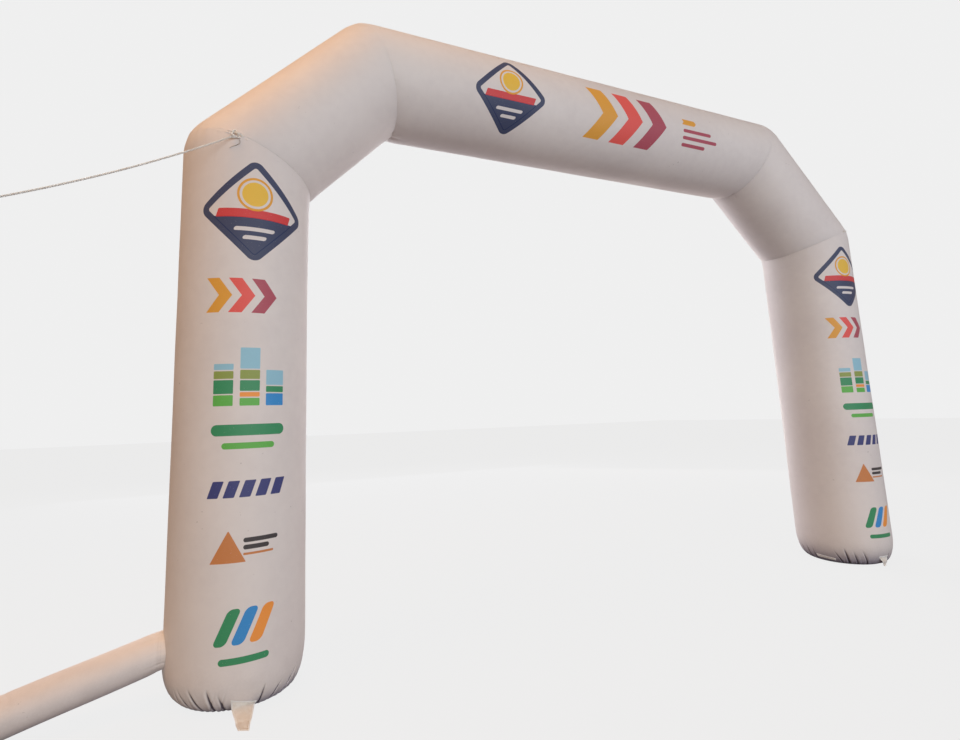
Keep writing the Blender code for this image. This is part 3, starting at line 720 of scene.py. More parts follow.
def grid_mesh(name, rings, maps, ends="middle"):
    """A closed skin over rings of points.

    Its ends are closed about their middle, or as a strip from the outer to the inner side of a flat
    piece, or joined to each other. maps gives, for each UV map, two values at each point and the
    length that the first value goes round by, so that faces across the join are carried on past it.
    """
    rows, count = rings.shape[:2]
    base = np.arange(rows if ends == "joined" else rows - 1)[:, None] * count
    above = (base + count) % (rows * count)
    here = np.arange(count)[None, :]
    after = (here + 1) % count
    faces = np.stack((base + here, base + after, above + after, above + here), -1).reshape(-1, 4).tolist()
    points = rings.reshape(-1, 3)
    first, last = 0, (rows - 1) * count
    if ends == "middle":
        points = np.concatenate((points, [rings[0].mean(0)], [rings[-1].mean(0)]))
        for ring, middle in ((first, rows * count), (last, rows * count + 1)):
            faces += [(ring + i, ring + (i + 1) % count, middle) for i in range(count)]
    if ends == "strip":
        for ring in (first, last):
            faces += [(ring + i, ring + i + 1, ring + count - i - 2, ring + count - i - 1)
                      for i in range(count // 2 - 1)]
    mesh = smooth_mesh(name, points, faces, 55)
    corners, face, sizes = face_corners(mesh)
    for label, (values, around) in maps.items():
        flat = np.concatenate((values.reshape(-1, 2), [values[0].mean(0)], [values[-1].mean(0)]))[corners]
        if around:
            most = np.full(len(sizes), -np.inf)
            np.maximum.at(most, face, flat[:, 0])
            flat[:, 0] += around * (most[face] - flat[:, 0] > around / 2)
        fill_map(mesh, label, flat)
    return mesh


def printed_places(mesh, start, along, upright, aside=0.0):
    """Fill the cloth map with metres to the right and up on the front, and on the back, as each is seen.

    aside moves the print to the left.
    """
    corners, face, sizes = face_corners(mesh)
    places = np.empty(len(mesh.vertices) * 3)
    mesh.vertices.foreach_get("co", places)
    here = (places.reshape(-1, 3) - GATEWAY - start)[corners]
    middle = np.bincount(face, here[:, 1]) / sizes
    way = np.where(middle[face] > 0, -1.0, 1.0)          # -1 on the back
    nearer = -here[:, 1] * way
    if upright:
        right = TUBE_R * np.arctan2(here[:, 0] * way, nearer) + aside
        up = here[:, 2]
    else:
        right = here @ along * way
        up = TUBE_R * np.arctan2(here @ np.cross(FRONT, along), nearer)
    fill_map(mesh, "cloth", paired(right, up))


# Tubes

def seam_puckers(seed):
    """Small folds about the outer side of a seam: angle, depth, half width."""
    draw = random.Random(seed)
    folds = []
    for number in range(SEAM_PUCKERS):
        angle = radians(-72 + 144 * (number + 0.5) / SEAM_PUCKERS + draw.uniform(-5, 5))
        folds.append((angle, draw.uniform(0.002, 0.005), radians(draw.uniform(3.5, 6))))
    return folds


def seam_gathers(seed):
    """Fine gathers all round a seam: angle, depth, half width, reach."""
    draw = random.Random(seed)
    return [(2 * pi * (number + draw.uniform(-0.4, 0.4)) / GATHERS, draw.uniform(0.0003, 0.0011),
             radians(draw.uniform(1.2, 2.2)), draw.uniform(0.03, 0.075)) for number in range(GATHERS)]


def seam_line(seam, angle):
    """Points of a seam: on the mitre's ellipse, pinched and puckered, and bowed off its plane."""
    outward = unit(seam.first - seam.second)
    inner = np.maximum(0.0, -np.cos(angle)) ** 2
    radius = TUBE_R - SEAM_TUCK - CORNER_TUCK * np.maximum(0.0, np.cos(angle)) ** 2 + seam.swell * inner
    for at, depth, width in seam.folds:
        radius = radius - depth * bell(wrapped(angle - at), width)
    corner_shift, side_shift = seam.shift
    shift = corner_shift * (1 - np.cos(angle)) / 2 + side_shift * np.sin(angle) ** 2
    out = np.outer(radius * np.cos(angle) / cos(HALF_TURN), outward)
    forward = np.outer(radius * np.sin(angle), FRONT)
    return seam.corner + out + forward + np.outer(shift, unit(seam.first + seam.second))


def seam_rings(seam, along, outward, steps, swell_reach, sides=TUBE_SIDES):
    """Rings of a tube at the given distances from its seam; along points at the seam."""
    normal = unit(seam.first + seam.second)
    even = even_angles(sides)
    end = seam_line(seam, even) - normal * np.sign(along @ normal) * GAP / 2 - seam.corner
    turned = wrapped(np.arctan2(end @ FRONT, end @ outward) - even)
    swell = seam.swell * np.maximum(0.0, -np.cos(even)) ** 2
    pinch = np.hypot(end @ FRONT, end @ outward) - TUBE_R - swell
    step = np.array(steps)[:, None]
    fade = fading(step, SEAM_REACH) ** 2
    angle = even + turned * fade
    radius = TUBE_R + swell * fading(step, swell_reach) + pinch * fade - STITCH_DIP * bell(step, STITCH_WIDTH)
    for at, depth, width, reach in seam.gathers:
        radius = radius - depth * bell(wrapped(even - at), width) * fading(step, reach)
    for at, height, width, first, last in seam.pulls:
        rise = bell(step - (first + last) / 2, (last - first) / 2)
        radius = radius + height * bell(wrapped(even - radians(at)), radians(width)) * rise
    side = np.cos(angle)[..., None] * outward + np.sin(angle)[..., None] * FRONT
    return seam.corner + along * (end @ along - step)[..., None] + side * radius[..., None]


def between(first, last, count):
    """Rings between two rings, without either."""
    share = (np.arange(count) + 1)[:, None, None] / (count + 1)
    return first + (last - first) * share


def slack(rings, start, along, seed, ends):
    """Let the tight cloth stand a little uneven, and even again towards both ends."""
    draw = random.Random(seed)
    away = rings - start
    walk = away @ along
    spoke = away - walk[..., None] * along
    reach = np.linalg.norm(spoke, axis=-1)
    angle = even_angles(rings.shape[1])
    wave = 0.0
    for _ in range(SLACK_WAVES):
        times = draw.randint(1, 7)
        pace = draw.uniform(1.5, 9.0)
        wave = wave + draw.uniform(0.1, 0.34) * np.sin(times * angle + pace * walk + draw.uniform(0, 6.3))
    share = np.clip((walk - ends[0]) / SLACK_EASE, 0, 1) * np.clip((ends[1] - walk) / SLACK_EASE, 0, 1)
    return rings + spoke / reach[..., None] * (SLACK_HEIGHT * wave * share)[..., None]


def seam_map(rings, distance):
    """Metres round the tube and off the nearest seam, for each point of its rings."""
    return paired(even_angles(rings.shape[1])[None, :] * TUBE_R, distance[:, None])


def foot_place(foot, angle, turn):
    """Radius and height of the drawn-in bottom of a leg: angle round the leg, turn up its round."""
    drawn_in, rise = (mean + outer * np.cos(angle) + front * np.sin(angle)
                      for mean, outer, front in (foot.drawn_in, foot.rise))
    return TUBE_R - drawn_in * (1 - np.sin(turn)), FOOT_Z + rise * (1 - np.cos(turn))


def clear_of(angle, places):
    return all(abs(wrapped(angle - radians(at))) > radians(reach) for at, reach in places)


def foot_creases(seed, front, left_out, sewn_on):
    """Gathers round the bottom of a leg: those of its front, drawn ones elsewhere, and finer ones."""
    folds = [(radians(at), radians(lean), depth, radians(width), top)
             for at, lean, depth, width, top in front]
    draw = random.Random(seed)
    for number in range(CREASES):
        angle = 2 * pi * (number + draw.uniform(-0.3, 0.3)) / CREASES
        depth = draw.uniform(0.004, 0.012)
        fold = (angle, 0.0, depth, radians(draw.uniform(2.4, 3.6)), draw.uniform(0.07, 0.17))
        if clear_of(angle, left_out):
            folds.append(fold)
    fine = random.Random(seed + 100)
    for number in range(FINE_CREASES):
        angle = 2 * pi * (number + fine.uniform(-0.45, 0.45)) / FINE_CREASES
        depth = fine.uniform(0.001, 0.0030)
        lean = fine.uniform(-1.2, 1.2)
        fold = (angle, lean, depth, radians(fine.uniform(1.1, 2.0)), fine.uniform(0.05, 0.20))
        if clear_of(angle, sewn_on):
            folds.append(fold)
    return folds


def creased(angle, height, creases):
    """How far the gathers draw the cloth in, and how much painted shade lies in them: sharp valleys between
    lips.
    """
    depth = 0.0
    shade = 0.0
    for at, lean, deep, width, top in creases:
        off = np.abs(wrapped(angle - at - lean * height))
        narrow = np.maximum(0.26 * width, NARROWEST_FOLD)
        lip = bell(off - 0.85 * width, 0.45 * width)
        reach = fading(height, top) ** 0.7
        depth = depth + deep * reach * (0.5 * bell(off, 0.65 * width) + 1.2 * bell(off, narrow) - 0.45 * lip)
        shade = shade + deep * reach * bell(off, narrow)
    return depth, np.clip(shade / DARK_FOLD, 0, 1)


def leg(name, node, foot, creases, seam, seed):
    """A leg, from its gathered bottom up to the mitred seam with the shoulder."""
    start = np.array((foot.side * LEG_X, 0.0, 0.0))
    outward = np.array((foot.side, 0.0, 0.0))
    angle = even_angles(LEG_SIDES)
    side = np.cos(angle)[:, None] * outward + np.sin(angle)[:, None] * FRONT
    bottom = []
    folds = []
    for turn in np.radians(90 * np.linspace(0, 1, FOOT_RINGS) ** 1.15):
        radius, height = foot_place(foot, angle, turn)
        drawn, shade = creased(angle, height, creases)
        bottom.append(start + side * (radius - drawn)[:, None] + height[:, None] * UP)
        # Painted shade for the folds map: deep in each gather, and round the bottom as far up as RIM_TURN
        folds.append(paired(shade, fading(turn, RIM_TURN[foot.side])))
    top = seam_rings(seam, UP, outward, HIGH_STEPS + SEAM_STEPS, CROTCH_REACH, LEG_SIDES)
    middle = between(bottom[-1], top[0], LEG_RINGS)
    rings = slack(np.concatenate((bottom, middle, top)), start, UP, seed, (0.25, BEND_Z - 0.5))
    distance = np.concatenate((np.full(len(bottom) + len(middle), OFF_SEAM), HIGH_STEPS, SEAM_STEPS))
    folds = np.concatenate((folds, np.zeros((len(rings) - len(bottom), LEG_SIDES, 2))))
    mesh = grid_mesh(name, rings, {"cloth": (np.zeros((*rings.shape[:2], 2)), 0), "folds": (folds, 0),
                                   "seam": (seam_map(rings, distance), 2 * pi * TUBE_R)})
    printed_places(mesh, start, UP, True, PRINT_ASIDE if foot.side > 0 else 0.0)
    piece = new_piece(name, mesh, leg_cloth, [node])


def span(name, node, first, last, material, seed):
    """A tube between two seams."""
    along = unit(last.corner - first.corner)
    length = np.linalg.norm(last.corner - first.corner)
    outward = np.array((-along[2], 0.0, along[0]))
    back = seam_rings(first, -along, outward, SEAM_STEPS, SEAM_REACH)[::-1]
    ahead = seam_rings(last, along, outward, SEAM_STEPS, SEAM_REACH)
    middle = between(back[-1], ahead[0], int(length / SPAN_STEP))
    rings = slack(np.concatenate((back, middle, ahead)), first.corner, along, seed, (0.15, length - 0.15))
    distance = np.concatenate((SEAM_STEPS[::-1], np.full(len(middle), OFF_SEAM), SEAM_STEPS))
    mesh = grid_mesh(name, rings, {"cloth": (np.zeros((*rings.shape[:2], 2)), 0),
                                   "seam": (seam_map(rings, distance), 2 * pi * TUBE_R)})
    middle_start = np.array((0.0, 0.0, BEAM_Z)) if node == "beam" else first.corner
    printed_places(mesh, middle_start, along, False)
    piece = new_piece(name, mesh, material, [node])


def make_seams():
    """The seams below and above each shoulder, by side and height."""
    made = {}
    for side, low_seed, high_seed in ((-1, 11, 12), (1, 14, 13)):
        slant = unit(np.array((-side, 0.0, 1.0)))
        inward = np.array((-side, 0.0, 0.0))
        low = (side * LEG_X, 0.0, BEND_Z), UP, slant, LOW_SHIFT, CROTCH_SWELL
        high = (side * BEAM_X, 0.0, BEAM_Z), slant, inward, HIGH_SHIFT, 0.0
        for height, (corner, *form), seed in (("low", low, low_seed), ("high", high, high_seed)):
            made[side, height] = Seam(np.array(corner), *form, seam_puckers(seed), seam_gathers(seed + 40),
                                      PULLS[side, height])
    return made


# Ropes

def smooth_route(points, count):
    """Points evenly along a smooth curve through a few route points."""
    places = [Vector(p) for p in points]
    places = [places[0] * 2 - places[1]] + places + [places[-1] * 2 - places[-2]]
    dense = []
    for a, b, c, d in zip(places, places[1:], places[2:], places[3:]):
        for k in range(24):
            t = k / 24
            dense.append(0.5 * (2 * b + (c - a) * t + (2 * a - 5 * b + 4 * c - d) * t ** 2
                                + (3 * b - a - 3 * c + d) * t ** 3))
    dense.append(places[-2])
    dense = np.array(dense)
    walk = walked(dense)
    target = np.linspace(0, walk[-1], count)
    return np.stack([np.interp(target, walk, dense[:, axis]) for axis in range(3)], -1)


def carried_frames(route):
    """Two directions across a route at each of its points, carried along it without twist."""
    ahead = np.gradient(route, axis=0)
    ahead /= np.linalg.norm(ahead, axis=1)[:, None]
    across = [unit(np.cross(ahead[0], UP + 0.1 * FRONT))]
    for direction in ahead[1:]:
        across.append(unit(across[-1] - direction * (across[-1] @ direction)))
    across = np.array(across)
    return across, np.cross(ahead, across)


def twisted_rope(name, routes, radius, tapered=0.0):
    """A mesh of three-strand ropes along routes; tapered is the length over which the ends close in."""
    pitch = ROPE_LAY * radius
    strand_r = radius * STRAND_R
    sides = STRAND_SIDES
    points = []
    faces = []
    flats = []
    for route in routes:
        length = walked(route)[-1]
        count = max(6, int(length / pitch * 14))
        fine = smooth_route(route, count) if len(route) < count else route
        across, upward = carried_frames(fine)
        walk = np.linspace(0, length, len(fine))
        inside = np.minimum(walk, length - walk) + 0.15 * tapered
        ends = np.minimum(1, (inside + 1e-6) / (tapered + 1e-6)) ** 0.5
        for strand in range(3):
            turn = 2 * pi * (walk / pitch + strand / 3)
            spoke = np.cos(turn)[:, None] * across + np.sin(turn)[:, None] * upward
            sideways = -np.sin(turn)[:, None] * across + np.cos(turn)[:, None] * upward
            base = len(points)
            for i, middle in enumerate(fine):
                for k in range(sides):
                    angle = 2 * pi * k / sides
                    skin = cos(angle) * spoke[i] + sin(angle) * sideways[i]
                    points.append(middle + ends[i] * radius * (spoke[i] * STRAND_OFF + skin * STRAND_R))
                    flats.append((strand_r * angle, walk[i]))
            for here in range(base, len(points) - sides, sides):
                faces += [(here + k, here + (k + 1) % sides, here + sides + (k + 1) % sides, here + sides + k)
                          for k in range(sides)]
            for here in (base, len(points) - sides):
                faces.append([here + k for k in range(sides)])
    mesh = smooth_mesh(name, np.array(points), faces, 70)
    fill_map(mesh, "cloth", np.array(flats)[face_corners(mesh)[0]])
    return mesh


def strap_frame(side, seam):
    """Middle of a guy strap on the seam, with the seam's, the up and the outward directions."""
    angle = radians(STRAP_ANGLE)
    step = 0.5 * STRAP_SPAN / TUBE_R
    outward = np.array((side * cos(angle), -sin(angle), 0.0))
    before, middle, after = seam_line(seam, np.array((angle - step, angle, angle + step)))
    along = unit(after - before)
    up = unit(UP - along * along[2])
    return middle, along, up, outward


def wound(centre, axis, radius, pitch, turns):
    """A route that winds round an axis, centred on a point."""
    across = unit(np.cross(axis, UP))
    upward = np.cross(axis, across)
    turn = np.linspace(0, 2 * pi * turns, int(turns * 22))[:, None]
    forward = pitch * (turn / (2 * pi) - turns / 2)
    return centre + axis * forward + radius * (np.cos(turn) * across + np.sin(turn) * upward)


# The knot and the free end, from the strap's middle: along the seam, up and outward
BIGHT = (
    (-0.0146, -0.0367, 0.024), (-0.026, -0.024, 0.0215), (-0.031, -0.010, 0.0165), (-0.0315, 0.003, 0.0137),
    (-0.027, 0.0135, 0.0125), (-0.018, 0.0155, 0.0115), (-0.009, 0.0115, 0.0108), (-0.001, 0.004, 0.0105),
    (0.007, -0.005, 0.0105), (0.014, -0.0125, 0.0107), (0.0235, -0.020, 0.0130), (0.024, -0.0275, 0.0175),
    (0.010, -0.031, 0.0215), (-0.004, -0.0345, 0.0235), (-0.010, -0.036, 0.024))
FREE_END = (
    (0.031, -0.035, 0.012), (0.0352, -0.0455, 0.009), (0.0387, -0.0602, 0.008), (0.030, -0.0783, 0.008),
    (0.0136, -0.0908, 0.008), (-0.0011, -0.1074, 0.008), (-0.0088, -0.1203, 0.008))


def guy(seam):
    """The guy tied through the left strap, drawn taut, with its knot, free end and outer eye."""
    middle, along, up, outward = strap_frame(-1, seam)
    bight, tail_route = (
        smooth_route([middle + along * s + up * t + outward * n for s, t, n in places], count)
        for places, count in ((BIGHT, 90), (FREE_END, 60)))
    knot = bight[0]
    pull = unit(ROPE_END - knot)
    turns = wound(knot, pull, 0.0088, 0.0084, 2.4)
    knot_piece = new_piece("guy_knot_turns", twisted_rope("guy_knot_turns", [bight, turns], ROPE_R, 0.006),
                           rope_yarn, ["guy_knot"])

    start = knot + pull * LINE_START
    share = np.linspace(0, 1, 61)[:, None]
    line = start + (ROPE_END - start) * share - UP * ROPE_SAG * 4 * share * (1 - share)
    rope_mesh = twisted_rope("guy_line", [line], ROPE_R * FLUFFED)
    rope = new_piece("guy_line", rope_mesh, rope_yarn, ["guy_rope"])

    tail = new_piece("guy_free_end", twisted_rope("guy_free_end", [tail_route], TAIL_R, 0.004), tail_yarn,
                     ["guy_tail"])

    side = unit(np.cross(pull, UP))
    rise = np.cross(side, pull)
    turn = np.linspace(0, 2 * pi, 49)[2:-2, None]
    ring = (ROPE_END + pull * (EYE_START + EYE_LENGTH * (1 - np.cos(turn)) / 2)
            + rise * (EYE_WIDTH / 2) * np.sin(turn) * np.sin(turn / 2) ** 0.5)
    whipping = wound(ROPE_END + pull * WHIPPING_AT, pull, 0.0068, 0.00496, 3.2)
    eye = new_piece("guy_outer_eye", twisted_rope("guy_outer_eye", [ring, whipping], EYE_R, 0.006),
                    rope_yarn, ["guy_eye"])


# Guy straps

def guy_strap(name, node, side, seam):
    """A webbing loop sewn down at both ends along the seam, standing off it in the middle."""
    _, along, up, outward = strap_frame(side, seam)
    half = STRAP_SPAN / 2
    places = np.concatenate((np.linspace(-half - STRAP_FOOT, -half, 8)[:-1], np.linspace(-half, half, 40),
                             np.linspace(half, half + STRAP_FOOT, 8)[1:]))
    share = np.clip((places + half) / STRAP_SPAN, 0, 1)
    rise = STRAP_RISE * np.sin(pi * share).clip(0) ** 0.6
    slope = np.stack((np.gradient(places), np.gradient(rise)), -1)
    slope /= np.linalg.norm(slope, axis=1)[:, None]
    base = seam_line(seam, radians(STRAP_ANGLE) + places / TUBE_R)
    base = base + outward * (rise + STRAP_T / 2 + STRAP_OFF)[:, None]
    face = slope[:, :1] * outward - slope[:, 1:] * along
    turn = np.linspace(0, 2 * pi, 29)[:-1]
    wide = np.sign(np.cos(turn)) * np.abs(np.cos(turn)) ** 0.35 * STRAP_WIDTH / 2
    thick = np.sign(np.sin(turn)) * np.abs(np.sin(turn)) ** 0.45 * STRAP_T / 2
    rings = base[:, None] + wide[None, :, None] * up + thick[None, :, None] * face[:, None]
    flat = paired(wide[None, :], walked(base)[:, None])
    new_piece(name, grid_mesh(name, rings, {"cloth": (flat, 0)}), strap_webbing, [node])


# Ground tabs

def sewn_place(foot, angle, turn, offset):
    """Points of a tab's middle layer that lie against the leg: out, sideways and up."""
    here = angle - foot.side * np.arcsin(offset / TUBE_R)
    radius, height = foot_place(foot, here, turn)
    above = foot_place(foot, here, turn + 0.02)
    normal = np.stack((above[1] - height, radius - above[0]))
    normal = normal / np.linalg.norm(normal, axis=0)
    clear = TAB_T / 2 + SEWN_GAP
    radius = radius + normal[0] * clear
    return np.stack((np.sqrt(radius ** 2 - offset ** 2), offset, height + normal[1] * clear), -1)


def tab(name, node, foot, at, skew, sewn, hanging=(), lean=0, askew=0):
    """A hemmed flat tab sewn to the bottom of a leg, and run down to the ground where it hangs."""
    angle = radians(at)
    centre = np.array((foot.side * LEG_X, 0.0, 0.0))
    ahead = np.array((foot.side * cos(angle), -sin(angle), 0.0))
    across = np.array((-ahead[1], ahead[0], 0.0))
    spread = np.linspace(-1, 1, TAB_COLUMNS)
    lines = []
    for turn, half in sewn:
        lines.append(sewn_place(foot, angle, np.radians(turn - skew * spread), half * spread))
    for i, (distance, height, half, follow) in enumerate(hanging, 1):
        share = i / len(hanging)
        offset = half * spread
        out = distance + follow * (np.sqrt(distance ** 2 - offset ** 2) - distance) + askew * share * spread
        lines.append(np.stack((out, offset + lean * share, np.full(TAB_COLUMNS, height)), -1))
    down = [smooth_route([line[k] for line in lines], TAB_ROWS) for k in range(TAB_COLUMNS)]
    middle = np.stack(down, 1)                             # rows down the tab, columns across
    walk = walked(middle[:, TAB_COLUMNS // 2])
    slope = np.gradient(middle, axis=0)
    slope = slope / np.linalg.norm(slope[..., [0, 2]], axis=-1)[..., None]
    half = (middle[:, -1, 1] - middle[:, 0, 1])[:, None] / 2
    from_end = np.minimum(walk, walk[-1] - walk)[:, None]
    from_edge = np.minimum(half * (1 - np.abs(spread))[None, :], from_end)
    at_edge = np.clip(from_edge / EDGE_ROUND, 0, 1)
    hem = HEM_RISE * (1 - np.clip((from_edge - HEM) / 0.002, 0, 1)) * at_edge
    round_edge = TAB_T / 2 * np.sqrt(np.clip(1 - (1 - at_edge) ** 2, 0.05, 1))
    bend = walk[:, None] - walk[-1] * 0.80 + 0.012 * spread
    ripple = 0.0013 * np.sin(bend * 230) * bell(bend, 0.020) * bell(spread, 0.75) * bool(hanging)
    rings = []
    for turn in (1, -1):
        thick = round_edge + hem + ripple if turn > 0 else round_edge - ripple
        out = middle[..., 0] - turn * slope[..., 2] * thick
        height = np.maximum(middle[..., 2] + turn * slope[..., 0] * thick, 0.0)
        rings.append(centre + out[..., None] * ahead + middle[..., 1:2] * across + height[..., None] * UP)
    loops = np.concatenate((rings[0], rings[1][:, ::-1]), axis=1)
    sideways = half * spread[None, :]
    flat = paired(np.concatenate((sideways, sideways[:, ::-1]), 1), walk[:, None])
    beat = walk[:, None] + np.tile(np.abs(spread), 2) * 0.02
    seam = paired(beat, np.concatenate((from_edge, from_edge[:, ::-1]), 1))
    mesh = grid_mesh(name, loops, {"cloth": (flat, 0), "seam": (seam, 0)}, ends="strip")
    piece = new_piece(name, mesh, tab_cloth, [node])


def ground_tabs():
    """The tabs in front of both legs, and the band of a folded one on the right leg's inner side."""
    tab("left_front_tab_cloth", "left_front_tab", LEFT_FOOT, 95.4, 9.4, ((47, 0.078), (41, 0.075)), (
        (0.4320, 0.0400, 0.0660, 0.7), (0.4900, 0.0140, 0.0510, 0.3), (0.5270, 0.0034, 0.0420, 0),
        (0.5500, FLOOR_TAB_Z, 0.0384, 0), (0.6185, FLOOR_TAB_Z, 0.0282, 0)), lean=-0.0243, askew=0.015)
    tab("right_front_tab_cloth", "right_front_tab", RIGHT_FOOT, 94.5, 0, ((51, 0.064), (45, 0.058)), (
        (0.4245, 0.0500, 0.038, 0.6), (0.4190, 0.0200, 0.024, 0.2), (0.4185, 0.0070, 0.016, 0),
        (0.4215, 0.0026, 0.012, 0), (0.4265, FLOOR_TAB_Z, 0.011, 0), (0.4340, FLOOR_TAB_Z, 0.008, 0)))
    tab("right_inner_tab_cloth", "right_inner_tab", RIGHT_FOOT, 173.7, 2.8, (
        (40.5, 0.0926), (37, 0.0926), (34, 0.0920), (31, 0.0900)))


# Air duct

def duct_axis(x):
    """The duct's middle at some X: down in a straight line from the leg, then along the ground."""
    share = (x + LEG_X + TUBE_R) / (DUCT_LAND_X + LEG_X + TUBE_R)
    height = np.maximum(DUCT_REST_Z, DUCT_Z + (DUCT_REST_Z - DUCT_Z) * share)
    return np.stack((x, DUCT_Y + (DUCT_LAND_Y - DUCT_Y) * share, height), -1)


def duct_folds():
    """Folds under the duct's join, then fine ones all round it: angle, depth, half width, reach."""
    draw = random.Random(5)
    folds = [(radians(200 + 22 * i + draw.uniform(-6, 6)), draw.uniform(0.0025, 0.006), radians(5), 0.075)
             for i in range(7)]
    fine = random.Random(6)
    count = 30
    return folds + [(2 * pi * (i + fine.uniform(-0.4, 0.4)) / count, fine.uniform(0.0008, 0.0026),
                     radians(fine.uniform(3.0, 5.0)), fine.uniform(0.04, 0.16)) for i in range(count)]


def duct_radius(angle, distance, folds):
    """Radius of the duct: gathered and welted where it is sewn to the leg, a little uneven further out."""
    radius = DUCT_R - 0.004 * bell(distance, 0.03) + 0.0035 * bell(distance - 0.007, 0.005)
    for at, depth, width, reach in folds:
        radius = radius - depth * bell(wrapped(angle - at), width) * fading(distance, reach)
    wave = np.sin(3 * angle + 7 * distance) + np.sin(5 * angle - 11 * distance + 2) * 0.7
    top = np.maximum(0.0, np.sin(angle)) ** 2
    for at, lean in DUCT_CREASES:
        radius = radius - 0.0022 * bell(distance - at - lean * np.cos(angle), 0.011) * top
    return radius + 0.0008 * wave * (1 - bell(distance, 0.12))


def inlet_duct():
    """The filled duct: seated round the leg's side, drawn in there, and flat on the ground."""
    wall = -LEG_X - TUBE_R
    folds = duct_folds()
    angle = even_angles(DUCT_SIDES)
    radius = duct_radius(angle, 0.0, folds)
    y = DUCT_Y + radius * np.cos(angle)
    seat_x = -LEG_X - np.sqrt((TUBE_R + SEWN_GAP) ** 2 - y * y)
    seat = np.stack((seat_x, y, DUCT_Z + radius * np.sin(angle)), -1)
    out = np.concatenate((np.linspace(0.012, 0.16, 26), np.linspace(0.16, wall - DUCT_END_X, 92)[1:]))
    places = wall - out
    side = np.cos(angle)[:, None] * -FRONT + np.sin(angle)[:, None] * UP
    rings = np.array([duct_axis(x) + duct_radius(angle, wall - x, folds)[:, None] * side for x in places])
    rings[..., 2] = np.maximum(rings[..., 2], 0.0)
    rings = np.concatenate((seat[None], between(seat, rings[0], 4), rings))
    distance = np.concatenate(((0.0, 0.003, 0.006, 0.008, 0.010), wall - places))
    flat = paired((angle * DUCT_R)[None, :], distance[:, None])
    circle = 2 * pi * DUCT_R
    # Painted shade for the folds map: in the folds under the join, and along the duct's lower side
    shade = sum(depth * bell(wrapped(angle[None, :] - at), 0.5 * width) * fading(distance[:, None], reach)
                for at, depth, width, reach in folds)
    under = np.clip(-0.15 - 0.6 * np.sin(angle), 0, 1)
    dull = paired(np.clip(0.25 * shade / DARK_FOLD, 0, 1), under[None, :])
    mesh = grid_mesh("inlet_duct_cloth", rings, {"cloth": (flat, circle), "seam": (flat, circle),
                                                 "folds": (dull, 0)})
    new_piece("inlet_duct_cloth", mesh, duct_cloth, ["inlet_duct"])


def duct_cuff():
    """The open hemmed sleeve at the duct's far end, a profile carried round its axis."""
    hem_r = DUCT_R + 0.0018
    profile = [(DUCT_R - CUFF_WALL, 0.0), (DUCT_R, 0.0)]
    profile += [(DUCT_R, h) for h in np.linspace(0.01, CUFF_LENGTH - HEM_LENGTH, 14)]
    profile += [(hem_r, CUFF_LENGTH - HEM_LENGTH + 0.002), (hem_r, CUFF_LENGTH - 0.015)]
    bend = HEM_WALL / 2
    profile += [(hem_r - bend + bend * cos(turn), CUFF_LENGTH - bend + bend * sin(turn))
                for turn in np.radians((0, 25, 50, 75, 90, 105, 130, 155, 180))]
    profile += [(hem_r - HEM_WALL, CUFF_LENGTH - HEM_LENGTH + 0.002)]
    profile += [(DUCT_R - CUFF_WALL, h) for h in np.linspace(CUFF_LENGTH - HEM_LENGTH, 0.01, 14)]
    profile = np.array(profile)
    angle = even_angles(DUCT_SIDES)
    middle = duct_axis(np.array(DUCT_END_X - GAP))
    loose = (profile[:, 1] / CUFF_LENGTH)[:, None] ** 2
    wave = 0.0009 * loose * (np.sin(4 * angle + 1) + 0.6 * np.sin(7 * angle + 3) - 1.6)[None, :]
    radius = profile[:, :1] + wave
    points = np.stack(np.broadcast_arrays(middle[0] - profile[:, 1:], middle[1] - radius * np.cos(angle),
                                          np.maximum(DUCT_R + 0.002 + radius * np.sin(angle), 0.0002)), -1)
    around = (angle * DUCT_R)[None, :]
    flat = paired(around, profile[:, 1:])
    hem = paired(around, CUFF_LENGTH - profile[:, 1:] - 0.014)
    circle = 2 * pi * DUCT_R
    mesh = grid_mesh("duct_cuff_cloth", points, {"cloth": (flat, circle), "seam": (hem, circle),
                                                 "folds": (np.zeros_like(flat), 0)}, ends="joined")
    cuff = new_piece("duct_cuff_cloth", mesh, duct_cloth, ["duct_cuff"])


# Ground panels

def ground_panels():
    """The solids' own discs, in heavy cloth."""
    for node, foot in (("left_ground_panel", LEFT_FOOT), ("right_ground_panel", RIGHT_FOOT)):
        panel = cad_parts[node]
        panel.material_slots[0].material = panel_cloth


# Floor and lights

def add_floor():
    """A plain floor: it glows evenly pale for the camera, and is a mid grey for all other light."""
    mesh = bpy.data.meshes.new("floor")
    half = FLOOR_HALF
    mesh.from_pydata([(-half, -half, 0), (half, -half, 0), (half, half, 0), (-half, half, 0)], [],
                     [(0, 1, 2, 3)])
    floor_finish, tree, shader = new_material("pale floor", Roughness=0.9)
    seen = put(tree, "ShaderNodeLightPath").outputs["Is Camera Ray"]
    link(tree, blend(tree, seen, FLOOR_LIT, FLOOR_SEEN), shader.inputs["Base Color"])
    shader.inputs["Specular IOR Level"].default_value = 0.0
    shader.inputs["Emission Color"].default_value = (1, 1, 1, 1)
    link(tree, calc(tree, "MULTIPLY", seen, FLOOR_GLOW), shader.inputs["Emission Strength"])
    mesh.materials.append(floor_finish)
    floor = bpy.data.objects.new("floor", mesh)
    floor.location.z = FLOOR_Z
    bpy.context.scene.collection.objects.link(floor)


